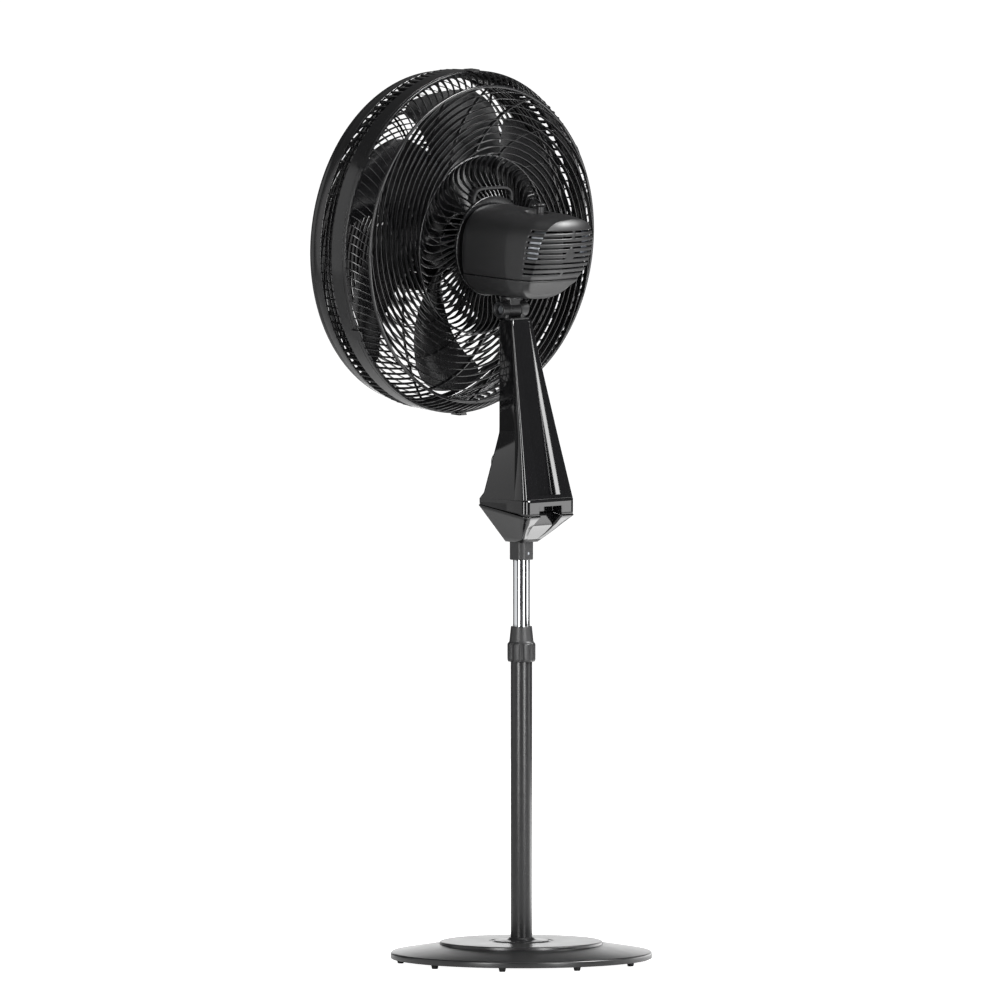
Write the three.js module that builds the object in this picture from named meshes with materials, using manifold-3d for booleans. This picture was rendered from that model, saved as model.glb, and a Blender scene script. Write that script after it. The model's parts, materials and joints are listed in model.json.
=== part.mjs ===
// Pedestal fan with a 50 cm guard: round weighted base, telescopic mast, tapered control column,
// tilting and oscillating head. Millimetres, +Z up, the front of the fan faces -Y.
// The origin is on the mast's axis, on the floor.
import * as THREE from "three";
import { mergeVertices } from "three/addons/utils/BufferGeometryUtils.js";
import Module from "manifold-3d";

const wasm = await Module();
wasm.setup();

// ---- driving dimensions ----
const GAP = 0.3; // clearance kept between touching pieces

const FOOT_COUNT = 10;
const FOOT_RING_RADIUS = 187;
const FOOT_PHASE_DEG = 18.5; // turn of the first foot from the rear (+Y) towards +X
const FOOT_HEIGHT = 7.5;
const BASE_RADIUS = 200;
const BASE_SKIRT_BOTTOM = 6.4;
const BASE_RIM_TOP = 15.8;
const BASE_STEP_RADIUS = 124.7;
const BASE_TOP = 32.3;
const BASE_SHEET = 3;
const BASE_SCREW_FACE = 7; // underside of the hand screw that clamps the base to the tube

const LOWER_TUBE_RADIUS = 16.5;
const LOWER_TUBE_TOP = 486;
const NUT_BOTTOM = 461;
const NUT_TOP = 515;
const NUT_GRIPS = 8;
const UPPER_TUBE_RADIUS = 13;
const UPPER_TUBE_BOTTOM = 190;
const UPPER_TUBE_TOP = 860;
const COLLAR_BOTTOM = 617;
const COLLAR_TOP = 646;
const COLLAR_RADIUS = 17.9;

const SKIRT_BOTTOM = 646.5;
const SEAM_FRONT = 704;
const SEAM_REAR = 688;
const BAND_TOP = 712;
const CONSOLE_BOTTOM = 721;
const CONSOLE_TOP = 812;
const COLUMN_TOP = 984;
const COLUMN_WALL = 2.6;

const TILT_Y = -22;
const TILT_Z = 1000;
const REST_TILT_DEG = 3;
const AXIS_ABOVE_TILT = 92.8;

const GUARD_RADIUS = 263.5;
const GUARD_RIM_Y = -107;
const GUARD_FRONT_Y = -187;
const SHOULDER_RADIUS = 242;
const SHOULDER_Y = -68;
const HUB_RING_Y = -46;
const SPOKE_COUNT = 10;
const CLIP_COUNT = 6;
const BLADE_COUNT = 6;
const BLADE_TIP_RADIUS = 232;
const SHAFT_RADIUS = 4;
const ARM_REACH = 25; // from the oscillation pivot to the pin that the link holds
const CRANK_THROW = 16;
const CRANK_Y = 58;
const LINK_FOOT = -49.5;

// ---- materials ----
const finish = (color, roughness, metalness) =>
  new THREE.MeshStandardMaterial({ color, roughness, metalness });
const paint = finish("#1c1c1e", 0.42, 0.2);
const gloss = finish("#101012", 0.12, 0);
const satin = finish("#2b2b2c", 0.5, 0);
const guardPlastic = finish("#171718", 0.32, 0);
const bladePlastic = finish("#0e0e10", 0.3, 0);
const rubber = finish("#0b0b0b", 0.85, 0);
const chrome = finish("#d6d8da", 0.08, 1);
const steel = finish("#a7abb0", 0.35, 1);
const copper = finish("#9a5a33", 0.4, 0.8);

// ---- solids ----
// Closed geometry as a solid with merged corners, faces turned outwards.
function solid(geometry) {
  const flat = geometry.index ? geometry.toNonIndexed() : geometry;
  const bare = new THREE.BufferGeometry().setAttribute("position", flat.getAttribute("position"));
  const merged = mergeVertices(bare, 1e-3);
  const index = merged.index.array;
  const corners = [];
  for (let i = 0; i < index.length; i += 3) {
    const [a, b, c] = index.slice(i, i + 3);
    if (a !== b && b !== c && c !== a) corners.push([a, b, c]);
  }
  const build = (triangles) =>
    new wasm.Manifold(
      new wasm.Mesh({
        numProp: 3,
        vertProperties: merged.attributes.position.array,
        triVerts: new Uint32Array(triangles.flat()),
      }),
    );
  const made = build(corners);
  return made.volume() > 0 ? made : build(corners.map(([a, b, c]) => [a, c, b]));
}

function geometryOf(body) {
  const mesh = body.getMesh();
  const positions = new Float32Array(mesh.numVert * 3);
  for (let i = 0; i < mesh.numVert; i++) {
    const start = i * mesh.numProp;
    positions.set(mesh.vertProperties.subarray(start, start + 3), i * 3);
  }
  const geometry = new THREE.BufferGeometry();
  geometry.setAttribute("position", new THREE.BufferAttribute(positions, 3));
  geometry.setIndex(new THREE.BufferAttribute(mesh.triVerts, 1));
  return geometry;
}

const union = (bodies) => bodies.reduce((sum, body) => sum.add(body));

// A profile of [radius, height] corners turned about +Z.
function turned(profile, sides) {
  const points = profile.map(([radius, height]) => new THREE.Vector2(radius, height));
  return new THREE.LatheGeometry(points, sides).rotateX(Math.PI / 2);
}

// A ring with a closed profile, turned about +Z.
const ring = (profile, sides) => turned([...profile, profile[0]], sides);

// A plain tube or disc about +Z: inner radius 0 gives a disc.
function tube(outer, inner, bottom, top, sides) {
  if (inner === 0) return turned([[0, bottom], [outer, bottom], [outer, top], [0, top]], sides);
  return ring([[inner, bottom], [outer, bottom], [outer, top], [inner, top]], sides);
}

// A box from its low and high corners.
function box(low, high) {
  const size = high.map((value, i) => value - low[i]);
  const centre = high.map((value, i) => (value + low[i]) / 2);
  return new THREE.BoxGeometry(...size).translate(...centre);
}

// A closed skin through sections of equal point count, each point [x, y, z], capped at both ends.
function loft(sections) {
  const count = sections[0].length;
  const positions = sections.flat(2);
  const triangles = [];
  for (let s = 0; s + 1 < sections.length; s++) {
    for (let i = 0; i < count; i++) {
      const here = s * count + i;
      const beside = s * count + ((i + 1) % count);
      triangles.push(here, beside, beside + count, here, beside + count, here + count);
    }
  }
  const last = (sections.length - 1) * count;
  for (let i = 1; i + 1 < count; i++) {
    triangles.push(0, i + 1, i, last, last + i, last + i + 1);
  }
  const geometry = new THREE.BufferGeometry();
  geometry.setAttribute("position", new THREE.Float32BufferAttribute(positions, 3));
  geometry.setIndex(triangles);
  return geometry;
}

// A flat bar or round rod carried along a smooth curve through points.
function rod(points, halfWidth, halfDepth, steps, sides = 4) {
  const section = new THREE.Shape();
  for (let i = 0; i < sides; i++) {
    const angle = ((i + 0.5) * 2 * Math.PI) / sides;
    const x = halfWidth * Math.cos(angle) * (sides === 4 ? Math.SQRT2 : 1);
    const y = halfDepth * Math.sin(angle) * (sides === 4 ? Math.SQRT2 : 1);
    if (i === 0) section.moveTo(x, y);
    else section.lineTo(x, y);
  }
  const path = new THREE.CatmullRomCurve3(points.map((p) => new THREE.Vector3(...p)));
  return new THREE.ExtrudeGeometry(section, { steps, extrudePath: path, bevelEnabled: false });
}

// ---- the scene ----
const fan = new THREE.Group();
const tilting = new THREE.Group();
tilting.position.set(0, TILT_Y, TILT_Z);
tilting.rotation.x = THREE.MathUtils.degToRad(-REST_TILT_DEG);
fan.add(tilting);
const head = new THREE.Group(); // its origin is on the blade shaft, above the oscillation pivot
head.position.set(0, 0, AXIS_ABOVE_TILT);
tilting.add(head);

function place(name, shape, material, parent = fan) {
  const geometry = shape.isBufferGeometry ? geometryOf(solid(shape)) : geometryOf(shape);
  const mesh = new THREE.Mesh(geometry, material.clone());
  mesh.name = name;
  parent.add(mesh);
  return mesh;
}

// Turns a shape made about +Z so that it lies about the blade shaft, +Z becoming +Y (rearwards).
const alongShaft = (geometry) => geometry.rotateX(-Math.PI / 2);

// ---- base ----
function baseDisc() {
  const low = BASE_SKIRT_BOTTOM;
  const step = BASE_STEP_RADIUS;
  return ring(
    [
      [BASE_RADIUS - BASE_SHEET, low],
      [BASE_RADIUS, low],
      [BASE_RADIUS, BASE_RIM_TOP - 2.5],
      [BASE_RADIUS - 2.5, BASE_RIM_TOP],
      [step + 2, BASE_TOP - 4.6],
      [step, BASE_TOP - 1.2],
      [step - 1.5, BASE_TOP],
      [14, BASE_TOP],
      [14, BASE_TOP - BASE_SHEET],
      [step - 3, BASE_TOP - BASE_SHEET],
      [step - 1, BASE_TOP - 4.6 - BASE_SHEET],
      [BASE_RADIUS - BASE_SHEET, BASE_RIM_TOP - BASE_SHEET],
    ],
    48,
  );
}

function addBase() {
  place("base_disc", baseDisc(), paint);
  for (let i = 0; i < FOOT_COUNT; i++) {
    const angle = THREE.MathUtils.degToRad(FOOT_PHASE_DEG + (i * 360) / FOOT_COUNT);
    const foot = turned([[0, 0], [4.5, 0], [6, FOOT_HEIGHT], [0, FOOT_HEIGHT]], 10);
    foot.translate(FOOT_RING_RADIUS * Math.sin(angle), FOOT_RING_RADIUS * Math.cos(angle), 0);
    place("foot_" + String(i + 1).padStart(2, "0"), foot, rubber);
  }
  const footRail = ring(
    [
      [FOOT_RING_RADIUS - 7, FOOT_HEIGHT + GAP],
      [FOOT_RING_RADIUS + 8, FOOT_HEIGHT + GAP],
      [FOOT_RING_RADIUS + 8, FOOT_HEIGHT + 2.5],
      [FOOT_RING_RADIUS - 7, FOOT_HEIGHT + 2.5],
    ],
    40,
  );
  place("foot_ring", footRail, paint);
  const flange = ring(
    [
      [17, BASE_TOP + GAP],
      [42, BASE_TOP + GAP],
      [42, BASE_TOP + 1],
      [23, BASE_TOP + 3],
      [20.5, BASE_TOP + 10],
      [17, BASE_TOP + 10],
    ],
    32,
  );
  place("base_flange", flange, paint);
  place("base_washer", tube(26, 6.5, 22, BASE_TOP - BASE_SHEET - GAP, 24), steel);
  const grips = [];
  for (let i = 0; i < 6; i++) {
    const angle = (i * Math.PI) / 3;
    const grip = tube(4, 0, BASE_SCREW_FACE, 22 - GAP, 8);
    grips.push(solid(grip.translate(12 * Math.cos(angle), 12 * Math.sin(angle), 0)));
  }
  const bolt = union([
    solid(tube(13, 0, BASE_SCREW_FACE, 22 - GAP, 18)),
    solid(tube(6, 0, 20, BASE_TOP + 22, 12)),
    ...grips,
  ]);
  place("base_hand_screw", bolt, satin);
}

// ---- mast ----
function lockNut() {
  const blank = solid(
    ring(
      [
        [17.2, NUT_BOTTOM],
        [20.6, NUT_BOTTOM],
        [21.9, NUT_BOTTOM + 4],
        [21.9, NUT_BOTTOM + 26],
        [19.4, NUT_BOTTOM + 30],
        [17.8, NUT_TOP - 14],
        [16.2, NUT_TOP],
        [13.5, NUT_TOP],
        [13.5, LOWER_TUBE_TOP + 10],
        [17.2, LOWER_TUBE_TOP + 4],
      ],
      32,
    ),
  );
  const flutes = [];
  for (let i = 0; i < NUT_GRIPS; i++) {
    const angle = ((i + 0.5) * 2 * Math.PI) / NUT_GRIPS;
    const flute = new THREE.CylinderGeometry(3.4, 3.4, 24, 8).rotateX(Math.PI / 2);
    flute.translate(23.4 * Math.cos(angle), 23.4 * Math.sin(angle), NUT_BOTTOM + 16);
    flutes.push(solid(flute));
  }
  return blank.subtract(union(flutes));
}

function addMast() {
  const lower = tube(LOWER_TUBE_RADIUS, LOWER_TUBE_RADIUS - 1.5, BASE_TOP + 1.2, LOWER_TUBE_TOP, 28);
  place("lower_tube", lower, paint);
  const collet = solid(
    ring(
      [
        [UPPER_TUBE_RADIUS + 0.4, LOWER_TUBE_TOP - 40],
        [LOWER_TUBE_RADIUS - 1.8, LOWER_TUBE_TOP - 40],
        [LOWER_TUBE_RADIUS - 1.8, LOWER_TUBE_TOP + GAP],
        [LOWER_TUBE_RADIUS, LOWER_TUBE_TOP + GAP],
        [UPPER_TUBE_RADIUS + 1.4, LOWER_TUBE_TOP + 8],
        [UPPER_TUBE_RADIUS + 0.4, LOWER_TUBE_TOP + 8],
      ],
      28,
    ),
  );
  const split = solid(box([0, -1, LOWER_TUBE_TOP - 41], [20, 1, LOWER_TUBE_TOP + 9]));
  place("clamp_sleeve", collet.subtract(split), satin);
  place("lock_nut", lockNut(), satin);

  const inner = UPPER_TUBE_RADIUS - 1.2;
  place("upper_tube", tube(UPPER_TUBE_RADIUS, inner, UPPER_TUBE_BOTTOM, UPPER_TUBE_TOP, 28), chrome);

  const collar = solid(tube(COLLAR_RADIUS, UPPER_TUBE_RADIUS + GAP, COLLAR_BOTTOM, COLLAR_TOP, 28));
  const flat = solid(box([15.6, -20, COLLAR_BOTTOM - 1], [20, 20, COLLAR_TOP + 1]));
  const rearFlat = solid(box([-20, 16, COLLAR_BOTTOM - 1], [20, 20, COLLAR_TOP + 1]));
  const hole = new THREE.CylinderGeometry(2.6, 2.6, 12, 10).translate(0, 16, COLLAR_BOTTOM + 10);
  place("column_collar", collar.subtract(flat).subtract(rearFlat).subtract(solid(hole)), satin);
  const screw = new THREE.CylinderGeometry(2.2, 2.2, 1.6, 10).translate(0, 14.4, COLLAR_BOTTOM + 10);
  place("collar_screw", screw, steel);
}

// ---- control column ----
// Corner points of a column section: trapezoid with rounded corners, narrow side to the front.
function columnSection(z, frontHalf, frontY, rearHalf, rearY, radius, inset = 0) {
  const height = (y) => (typeof z === "function" ? z(y) : z);
  const corners = [
    [frontHalf - inset, frontY + inset, -90],
    [rearHalf - inset, rearY - inset, 0],
    [-rearHalf + inset, rearY - inset, 90],
    [-frontHalf + inset, frontY + inset, 180],
  ];
  const round = Math.max(radius - inset, 0.5);
  const points = [];
  for (const [x, y, start] of corners) {
    const centreX = x - Math.sign(x) * round;
    const centreY = y + (start === -90 || start === 180 ? round : -round);
    for (const turn of [0, 30, 60, 90]) {
      const angle = THREE.MathUtils.degToRad(start + turn);
      const px = centreX + round * Math.cos(angle);
      const py = centreY + round * Math.sin(angle);
      points.push([px, py, height(py)]);
    }
  }
  return points;
}

const seamHeight = (y) => SEAM_FRONT + ((SEAM_REAR - SEAM_FRONT) * (y + 39)) / 101.5;
const ratioDown = (z) => (COLUMN_TOP - z) / (COLUMN_TOP - BAND_TOP);
const rearHalfAt = (z) => 20.8 + 34.2 * ratioDown(z);
const rearYAt = (z) => 1 + 61 * ratioDown(z);

function columnBody(inset, lowest) {
  const lowHalf = rearHalfAt(CONSOLE_BOTTOM);
  const lowY = rearYAt(CONSOLE_BOTTOM);
  const main = loft([
    columnSection(CONSOLE_BOTTOM - (inset ? 10 : 0), 50, -34.5, lowHalf, lowY, 6, inset),
    columnSection(CONSOLE_TOP, 20.8, -29.5, rearHalfAt(CONSOLE_TOP), rearYAt(CONSOLE_TOP), 5, inset),
    columnSection(COLUMN_TOP - (inset ? 4 : 0), 20.8, -29.5, 20.8, 1, 5, inset),
  ]);
  const bandFoot = inset ? () => lowest : seamHeight;
  const band = loft([
    columnSection(bandFoot, 55, -39, 55, 62.5, 8, inset),
    columnSection(BAND_TOP, 55, -39, 55, 62.5, 8, inset),
    columnSection(CONSOLE_BOTTOM + 0.01, 50.5, -35, lowHalf, lowY, 6, inset),
  ]);
  return solid(main).add(solid(band));
}

// A slab or block between the rear face and a plane in front of it, from one height to another.
function rearBlock(halfAt, frontAt, rearAt, low, high) {
  const section = (z) => [
    [-halfAt(z), frontAt(z), z],
    [halfAt(z), frontAt(z), z],
    [halfAt(z), rearAt(z), z],
    [-halfAt(z), rearAt(z), z],
  ];
  return solid(loft([section(low), section(high)]));
}

const CHANNEL_LOW = 716;
const CHANNEL_HIGH = 972;
const channelDepth = (z) => 2 + (16 * (CHANNEL_HIGH - z)) / (CHANNEL_HIGH - CHANNEL_LOW);
const channelHalf = (z) => 23.5 - (8.5 * (z - CHANNEL_LOW)) / (CHANNEL_HIGH - CHANNEL_LOW);
const inletRecess = () => solid(box([-24, 41, SEAM_REAR - 30], [24, 90, SEAM_REAR + 14]));

function addColumn() {
  const outer = columnBody(0, 0);
  const hollow = columnBody(COLUMN_WALL, SEAM_REAR - 12);
  const shell = outer.subtract(hollow);
  const seat = (z) => rearYAt(z) - 5;
  const far = () => 120;
  const wide = () => 90;
  const backSlab = rearBlock(wide, seat, far, BAND_TOP + 1, COLUMN_TOP + 20);
  const backSlabClear = rearBlock(wide, (z) => seat(z) - GAP, far, BAND_TOP + 1 - GAP, COLUMN_TOP + 20);
  const topHole = solid(tube(7, 0, COLUMN_TOP - 12, COLUMN_TOP + 2, 12).translate(0, -14, 0));
  const recessLining = solid(box([-26.5, 38.5, SEAM_REAR - 4], [26.5, 62, SEAM_REAR + 16.5]));
  const knobHole = solid(tube(4.6, 0, -60, 0, 12).rotateX(Math.PI / 2).translate(0, -60, 764));
  const body = shell
    .subtract(backSlabClear)
    .add(recessLining.intersect(outer))
    .subtract(inletRecess())
    .subtract(topHole)
    .subtract(knobHole);
  place("column_shell", body, gloss);

  const panSeat = (z) => rearYAt(z) - channelDepth(z);
  const pan = rearBlock(
    (z) => channelHalf(z) + COLUMN_WALL,
    (z) => panSeat(z) - COLUMN_WALL,
    (z) => rearYAt(z) - 1,
    CHANNEL_LOW + GAP,
    CHANNEL_HIGH + 4,
  );
  const groove = rearBlock(channelHalf, panSeat, far, CHANNEL_LOW + 3, CHANNEL_HIGH);
  const cover = outer
    .intersect(backSlab)
    .subtract(hollow)
    .add(pan.intersect(outer))
    .subtract(groove);
  place("column_back_cover", cover, gloss);

  const skirtFoot = (inset) =>
    columnSection(SKIRT_BOTTOM - (inset ? 1 : 0), 18, -18, 18, 18, 6, inset);
  const skirtOuter = loft([
    skirtFoot(0),
    columnSection((y) => seamHeight(y) - GAP, 54.6, -38.6, 54.6, 62, 8),
  ]);
  const skirtInner = loft([
    skirtFoot(COLUMN_WALL),
    columnSection((y) => seamHeight(y) + 1, 54.6, -38.6, 54.6, 62, 8, COLUMN_WALL),
  ]);
  const skirt = solid(skirtOuter)
    .subtract(solid(skirtInner))
    .subtract(solid(box([-26.8, 38.2, SEAM_REAR - 30], [26.8, 90, SEAM_REAR + 14])));
  place("column_skirt", skirt, gloss);

  const innerCollar = tube(UPPER_TUBE_RADIUS + 4, UPPER_TUBE_RADIUS + GAP, 724, 744, 24);
  place("tube_socket", innerCollar, satin);
  const bush = ring([[3, 704.8], [7, 704.8], [7, 712], [3, 712]], 16).translate(0, 51, 0);
  place("cord_bush", bush, rubber);
  place("speed_switch", box([-17, -28, 750], [17, -16.5, 780]), satin);
  const dial = union([
    solid(tube(19, 0, 36.5, 50, 28)),
    solid(tube(4, 0, 30.5, 38, 12)),
  ]);
  const speedKnob = place("speed_knob", dial, satin);
  speedKnob.rotation.x = Math.PI / 2;
  speedKnob.position.set(0, 0, 764);
  place("capacitor", box([22, 0, 740], [40, 30, 768]), satin);
}

// ---- tilt joint ----
function lug(from, to) {
  const round = new THREE.CylinderGeometry(12, 12, to - from, 20).rotateZ(Math.PI / 2);
  round.translate((from + to) / 2, TILT_Y, TILT_Z);
  const stem = box([from, TILT_Y - 12, COLUMN_TOP + GAP], [to, TILT_Y + 12, TILT_Z]);
  return solid(round).add(solid(stem));
}

function crossPin(radius, from, to, sides = 16) {
  const pin = new THREE.CylinderGeometry(radius, radius, to - from, sides).rotateZ(Math.PI / 2);
  return pin.translate((from + to) / 2, 0, 0);
}

function addTiltJoint() {
  const seat = solid(box([-20, TILT_Y - 8, COLUMN_TOP + GAP], [20, TILT_Y + 20, COLUMN_TOP + 3]));
  const spigot = solid(tube(6.5, 0, COLUMN_TOP - 20, COLUMN_TOP + 2, 12).translate(0, -14, 0));
  const bore = solid(crossPin(4.4, -40, 40).translate(0, TILT_Y, TILT_Z));
  const fork = union([lug(12, 28), lug(-28, -12), seat, spigot]).subtract(bore);
  place("tilt_fork", fork, satin);
  const bolt = union([
    solid(crossPin(4, -38.5, 34).translate(0, TILT_Y, TILT_Z)),
    solid(crossPin(7, 28 + GAP, 34, 6).translate(0, TILT_Y, TILT_Z)),
  ]);
  place("tilt_bolt", bolt, steel);
  const nut = solid(crossPin(8, -35, -28 - GAP, 6)).subtract(solid(crossPin(4.3, -36, -27)));
  const tiltNut = place("tilt_nut", nut, steel);
  tiltNut.position.set(0, TILT_Y, TILT_Z);

  const tongue = solid(crossPin(11.5, -11.6, 11.6, 20));
  const stem = solid(box([-11.6, -10, 0], [11.6, 10, 17]));
  const plate = solid(tube(17, 0, 15, 19.5, 24));
  const post = solid(tube(8, 0, 18, 40, 20));
  const neck = union([tongue, stem, plate, post]).subtract(solid(crossPin(4.4, -20, 20)));
  place("pivot_neck", neck, satin, tilting);
  const foot = 40 + GAP;
  const arm = union([
    solid(tube(11, 0, foot, foot + 2, 20)),
    solid(box([0, -5, foot], [ARM_REACH + 5, 5, foot + 2])),
    solid(tube(2.4, 0, foot, foot + 5.4, 10).translate(ARM_REACH, 0, 0)),
  ]);
  place("pivot_arm", arm, steel, tilting);
}

// ---- motor head ----
// Housing outline at a distance behind the pivot: a rounded box. Lean moves its top rearwards,
// and sag draws its foot forwards.
function housingSection(y, half, top, bottom, lean = 0, sag = 0) {
  const points = [];
  const count = 24;
  for (let i = 0; i < count; i++) {
    const angle = (i * 2 * Math.PI) / count;
    const power = 2 / 2.7;
    const c = Math.cos(angle);
    const s = Math.sin(angle);
    const x = half * Math.sign(c) * Math.abs(c) ** power;
    const z = (s > 0 ? top : bottom) * Math.abs(s) ** power;
    points.push([x, y + lean * z - (z < 0 ? sag * z * z : 0), z]);
  }
  return points;
}

const HOUSING_FRONT = -38;
const HOUSING_SEAM = -39;

function housingBody(inset) {
  return solid(
    loft([
      housingSection(HOUSING_FRONT - (inset ? 5 : 0), 73 - inset, 66.5 - inset, -71 + inset),
      housingSection(50, 69 - inset, 64.5 - inset, -70 + inset),
      housingSection(88 - inset, 64 - inset, 63 - inset, -69 + inset, 0.1, 0.004),
      housingSection(112 - 2 * inset, 57 - inset, 57 - inset, -62 + inset, 0.22, 0.0075),
      housingSection(121 - 1.6 * inset, 44 - inset, 44 - inset, -46 + inset, 0.22, 0.0085),
    ]),
  );
}

function addHousing() {
  const skin = housingBody(0).subtract(housingBody(2.5));
  const slots = [];
  for (let i = 0; i < 9; i++) {
    const z = 38 - i * 8.3;
    slots.push(solid(box([2.5, 86, z - 1.7], [60, 140, z + 1.7])));
    slots.push(solid(box([-60, 86, z - 1.7], [-2.5, 140, z + 1.7])));
  }
  const knobHole = solid(tube(10, 0, 40, 80, 16).translate(8, 62, 0));
  const upperHalf = solid(box([-90, -60, HOUSING_SEAM + GAP / 2], [90, 150, 90]));
  const lowerHalf = solid(box([-90, -60, -90], [90, 150, HOUSING_SEAM - GAP / 2]));
  const neckHole = solid(box([-22, -21, -90], [22, 21, -60]));
  const vents = union(slots);
  const upper = skin.intersect(upperHalf).subtract(knobHole).subtract(vents);
  place("housing_top", upper, satin, head);
  place("housing_bottom", skin.intersect(lowerHalf).subtract(neckHole), satin, head);
}

function addMotor() {
  const plate = solid(alongShaft(tube(60, 9.6, -37.6, -34.6, 32)));
  const web = solid(box([-13, -35, -62], [13, 0, -54]));
  const boss = solid(tube(15, 0, -66, -53.5, 24));
  const pivotBore = solid(tube(8.4, 0, -70, -40, 20));
  const frame = union([plate, web, boss]).subtract(pivotBore);
  place("motor_frame", frame, steel, head);
  const core = ring(
    [[29, -30], [41, -30], [41, -24], [46, -24], [46, 22], [41, 22], [41, 29], [29, 29]],
    28,
  );
  place("stator", alongShaft(core), copper, head);
  place("bearing_front", alongShaft(tube(9.2, SHAFT_RADIUS + 0.3, -38, -33, 20)), steel, head);
  const rearPlate = tube(47, 9.6, 31, 34, 28);
  place("motor_rear_plate", alongShaft(rearPlate), steel, head);
  place("bearing_rear", alongShaft(tube(9.2, SHAFT_RADIUS + 0.3, 30, 36, 20)), steel, head);
  const gearbox = solid(box([-22, 37, -30], [26, 84, 32]));
  const knobBore = solid(tube(6, 0, 10, 40, 12).translate(8, 62, 0));
  const shaftBore = solid(alongShaft(tube(SHAFT_RADIUS + 0.6, 0, 30, 58, 12)));
  place("gearbox", gearbox.subtract(knobBore).subtract(shaftBore), satin, head);
  const stem = union([
    solid(tube(5.4, 0, 20, 70, 14)),
    solid(tube(7.4, 0, 72.6, 76, 20)),
    solid(tube(6.2, 0, 44, 73, 20)),
  ]);
  const oscillationKnob = place("oscillation_knob", stem, satin, head);
  oscillationKnob.position.set(8, 62, 0);

  // Crank under the gearbox; its link slides on the pin of the neck's fixed arm through a slot.
  const disc = union([
    solid(tube(CRANK_THROW + 4, 0, -40, -36, 20)),
    solid(tube(4, 0, -37, -30 - GAP, 12)),
    solid(tube(2.5, 0, LINK_FOOT - 1, -38, 10).translate(CRANK_THROW, 0, 0)),
  ]);
  const crank = place("oscillation_crank", disc, steel, head);
  crank.position.set(ARM_REACH - CRANK_THROW, CRANK_Y, 0);
  const bar = solid(box([-6, 5 - CRANK_Y, LINK_FOOT], [6, 4.5, LINK_FOOT + 2.5]));
  const yoke = solid(box([-6, -9 - CRANK_Y, LINK_FOOT], [17, 9 - CRANK_Y, LINK_FOOT + 2.5]));
  const eye = solid(tube(2.9, 0, LINK_FOOT - 1, LINK_FOOT + 4, 10));
  const slot = solid(box([-3, -5.8 - CRANK_Y, LINK_FOOT - 1], [13.6, 5.8 - CRANK_Y, LINK_FOOT + 4]));
  const link = place("oscillation_link", bar.add(yoke).subtract(eye).subtract(slot), steel, head);
  link.position.set(ARM_REACH, CRANK_Y, 0);
}

// ---- guard ----
// Point on the guard at a radius and a turn from the top, at a distance along the shaft.
function polar(radius, degrees, y) {
  const angle = THREE.MathUtils.degToRad(degrees);
  return [radius * Math.sin(angle), y, radius * Math.cos(angle)];
}

function hoop(outer, inner, front, rear, sides = 32) {
  return solid(alongShaft(tube(outer, inner, front, rear, sides)));
}

function rearGrille() {
  const parts = [
    hoop(GUARD_RADIUS, GUARD_RADIUS - 5, GUARD_RIM_Y + GAP, GUARD_RIM_Y + 7),
    hoop(SHOULDER_RADIUS + 1.5, SHOULDER_RADIUS - 3, SHOULDER_Y - 3, SHOULDER_Y + 2),
    hoop(164, 160, -54, -49, 24),
    hoop(84, 52, HUB_RING_Y - 6, HUB_RING_Y, 28),
  ];
  for (let i = 0; i < SPOKE_COUNT; i++) {
    const start = (i * 360) / SPOKE_COUNT;
    const points = [
      polar(GUARD_RADIUS - 2.5, start, GUARD_RIM_Y + 3),
      polar(SHOULDER_RADIUS + 9, start + 2, SHOULDER_Y - 12),
      polar(SHOULDER_RADIUS - 1, start + 5, SHOULDER_Y),
      polar(200, start + 16, -57),
      polar(162, start + 26, -51),
      polar(120, start + 36, -48),
      polar(80, start + 42, HUB_RING_Y - 3),
    ];
    parts.push(solid(rod(points, 1.6, 1.6, 6)));
  }
  return union(parts);
}

function frontGrille() {
  const lip = GUARD_FRONT_Y;
  const parts = [
    hoop(GUARD_RADIUS, GUARD_RADIUS - 5, GUARD_RIM_Y - 23, GUARD_RIM_Y),
    hoop(GUARD_RADIUS - 3, GUARD_RADIUS - 8, lip + 12, GUARD_RIM_Y - 50),
    hoop(GUARD_RADIUS - 6, GUARD_RADIUS - 14, lip, lip + 13),
    hoop(203, 199, lip - 9, lip - 4, 28),
    hoop(143, 139, lip - 13, lip - 8, 24),
    hoop(84, 60, lip - 15, lip - 10, 24),
  ];
  for (let i = 0; i < SPOKE_COUNT; i++) {
    const start = (i * 360) / SPOKE_COUNT;
    const wall = [
      polar(GUARD_RADIUS - 3, start, GUARD_RIM_Y - 20),
      polar(GUARD_RADIUS - 5.5, start, GUARD_RIM_Y - 54),
    ];
    parts.push(solid(rod(wall, 1.6, 1.6, 1)));
  }
  for (let i = 0; i < SPOKE_COUNT; i++) {
    const start = (i * 360) / SPOKE_COUNT;
    const points = [
      polar(GUARD_RADIUS - 10, start, lip + 5),
      polar(201, start + 10, lip - 6.5),
      polar(141, start + 22, lip - 10.5),
      polar(82, start + 34, lip - 12.5),
    ];
    parts.push(solid(rod(points, 1.6, 1.6, 5)));
  }
  return union(parts);
}

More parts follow.
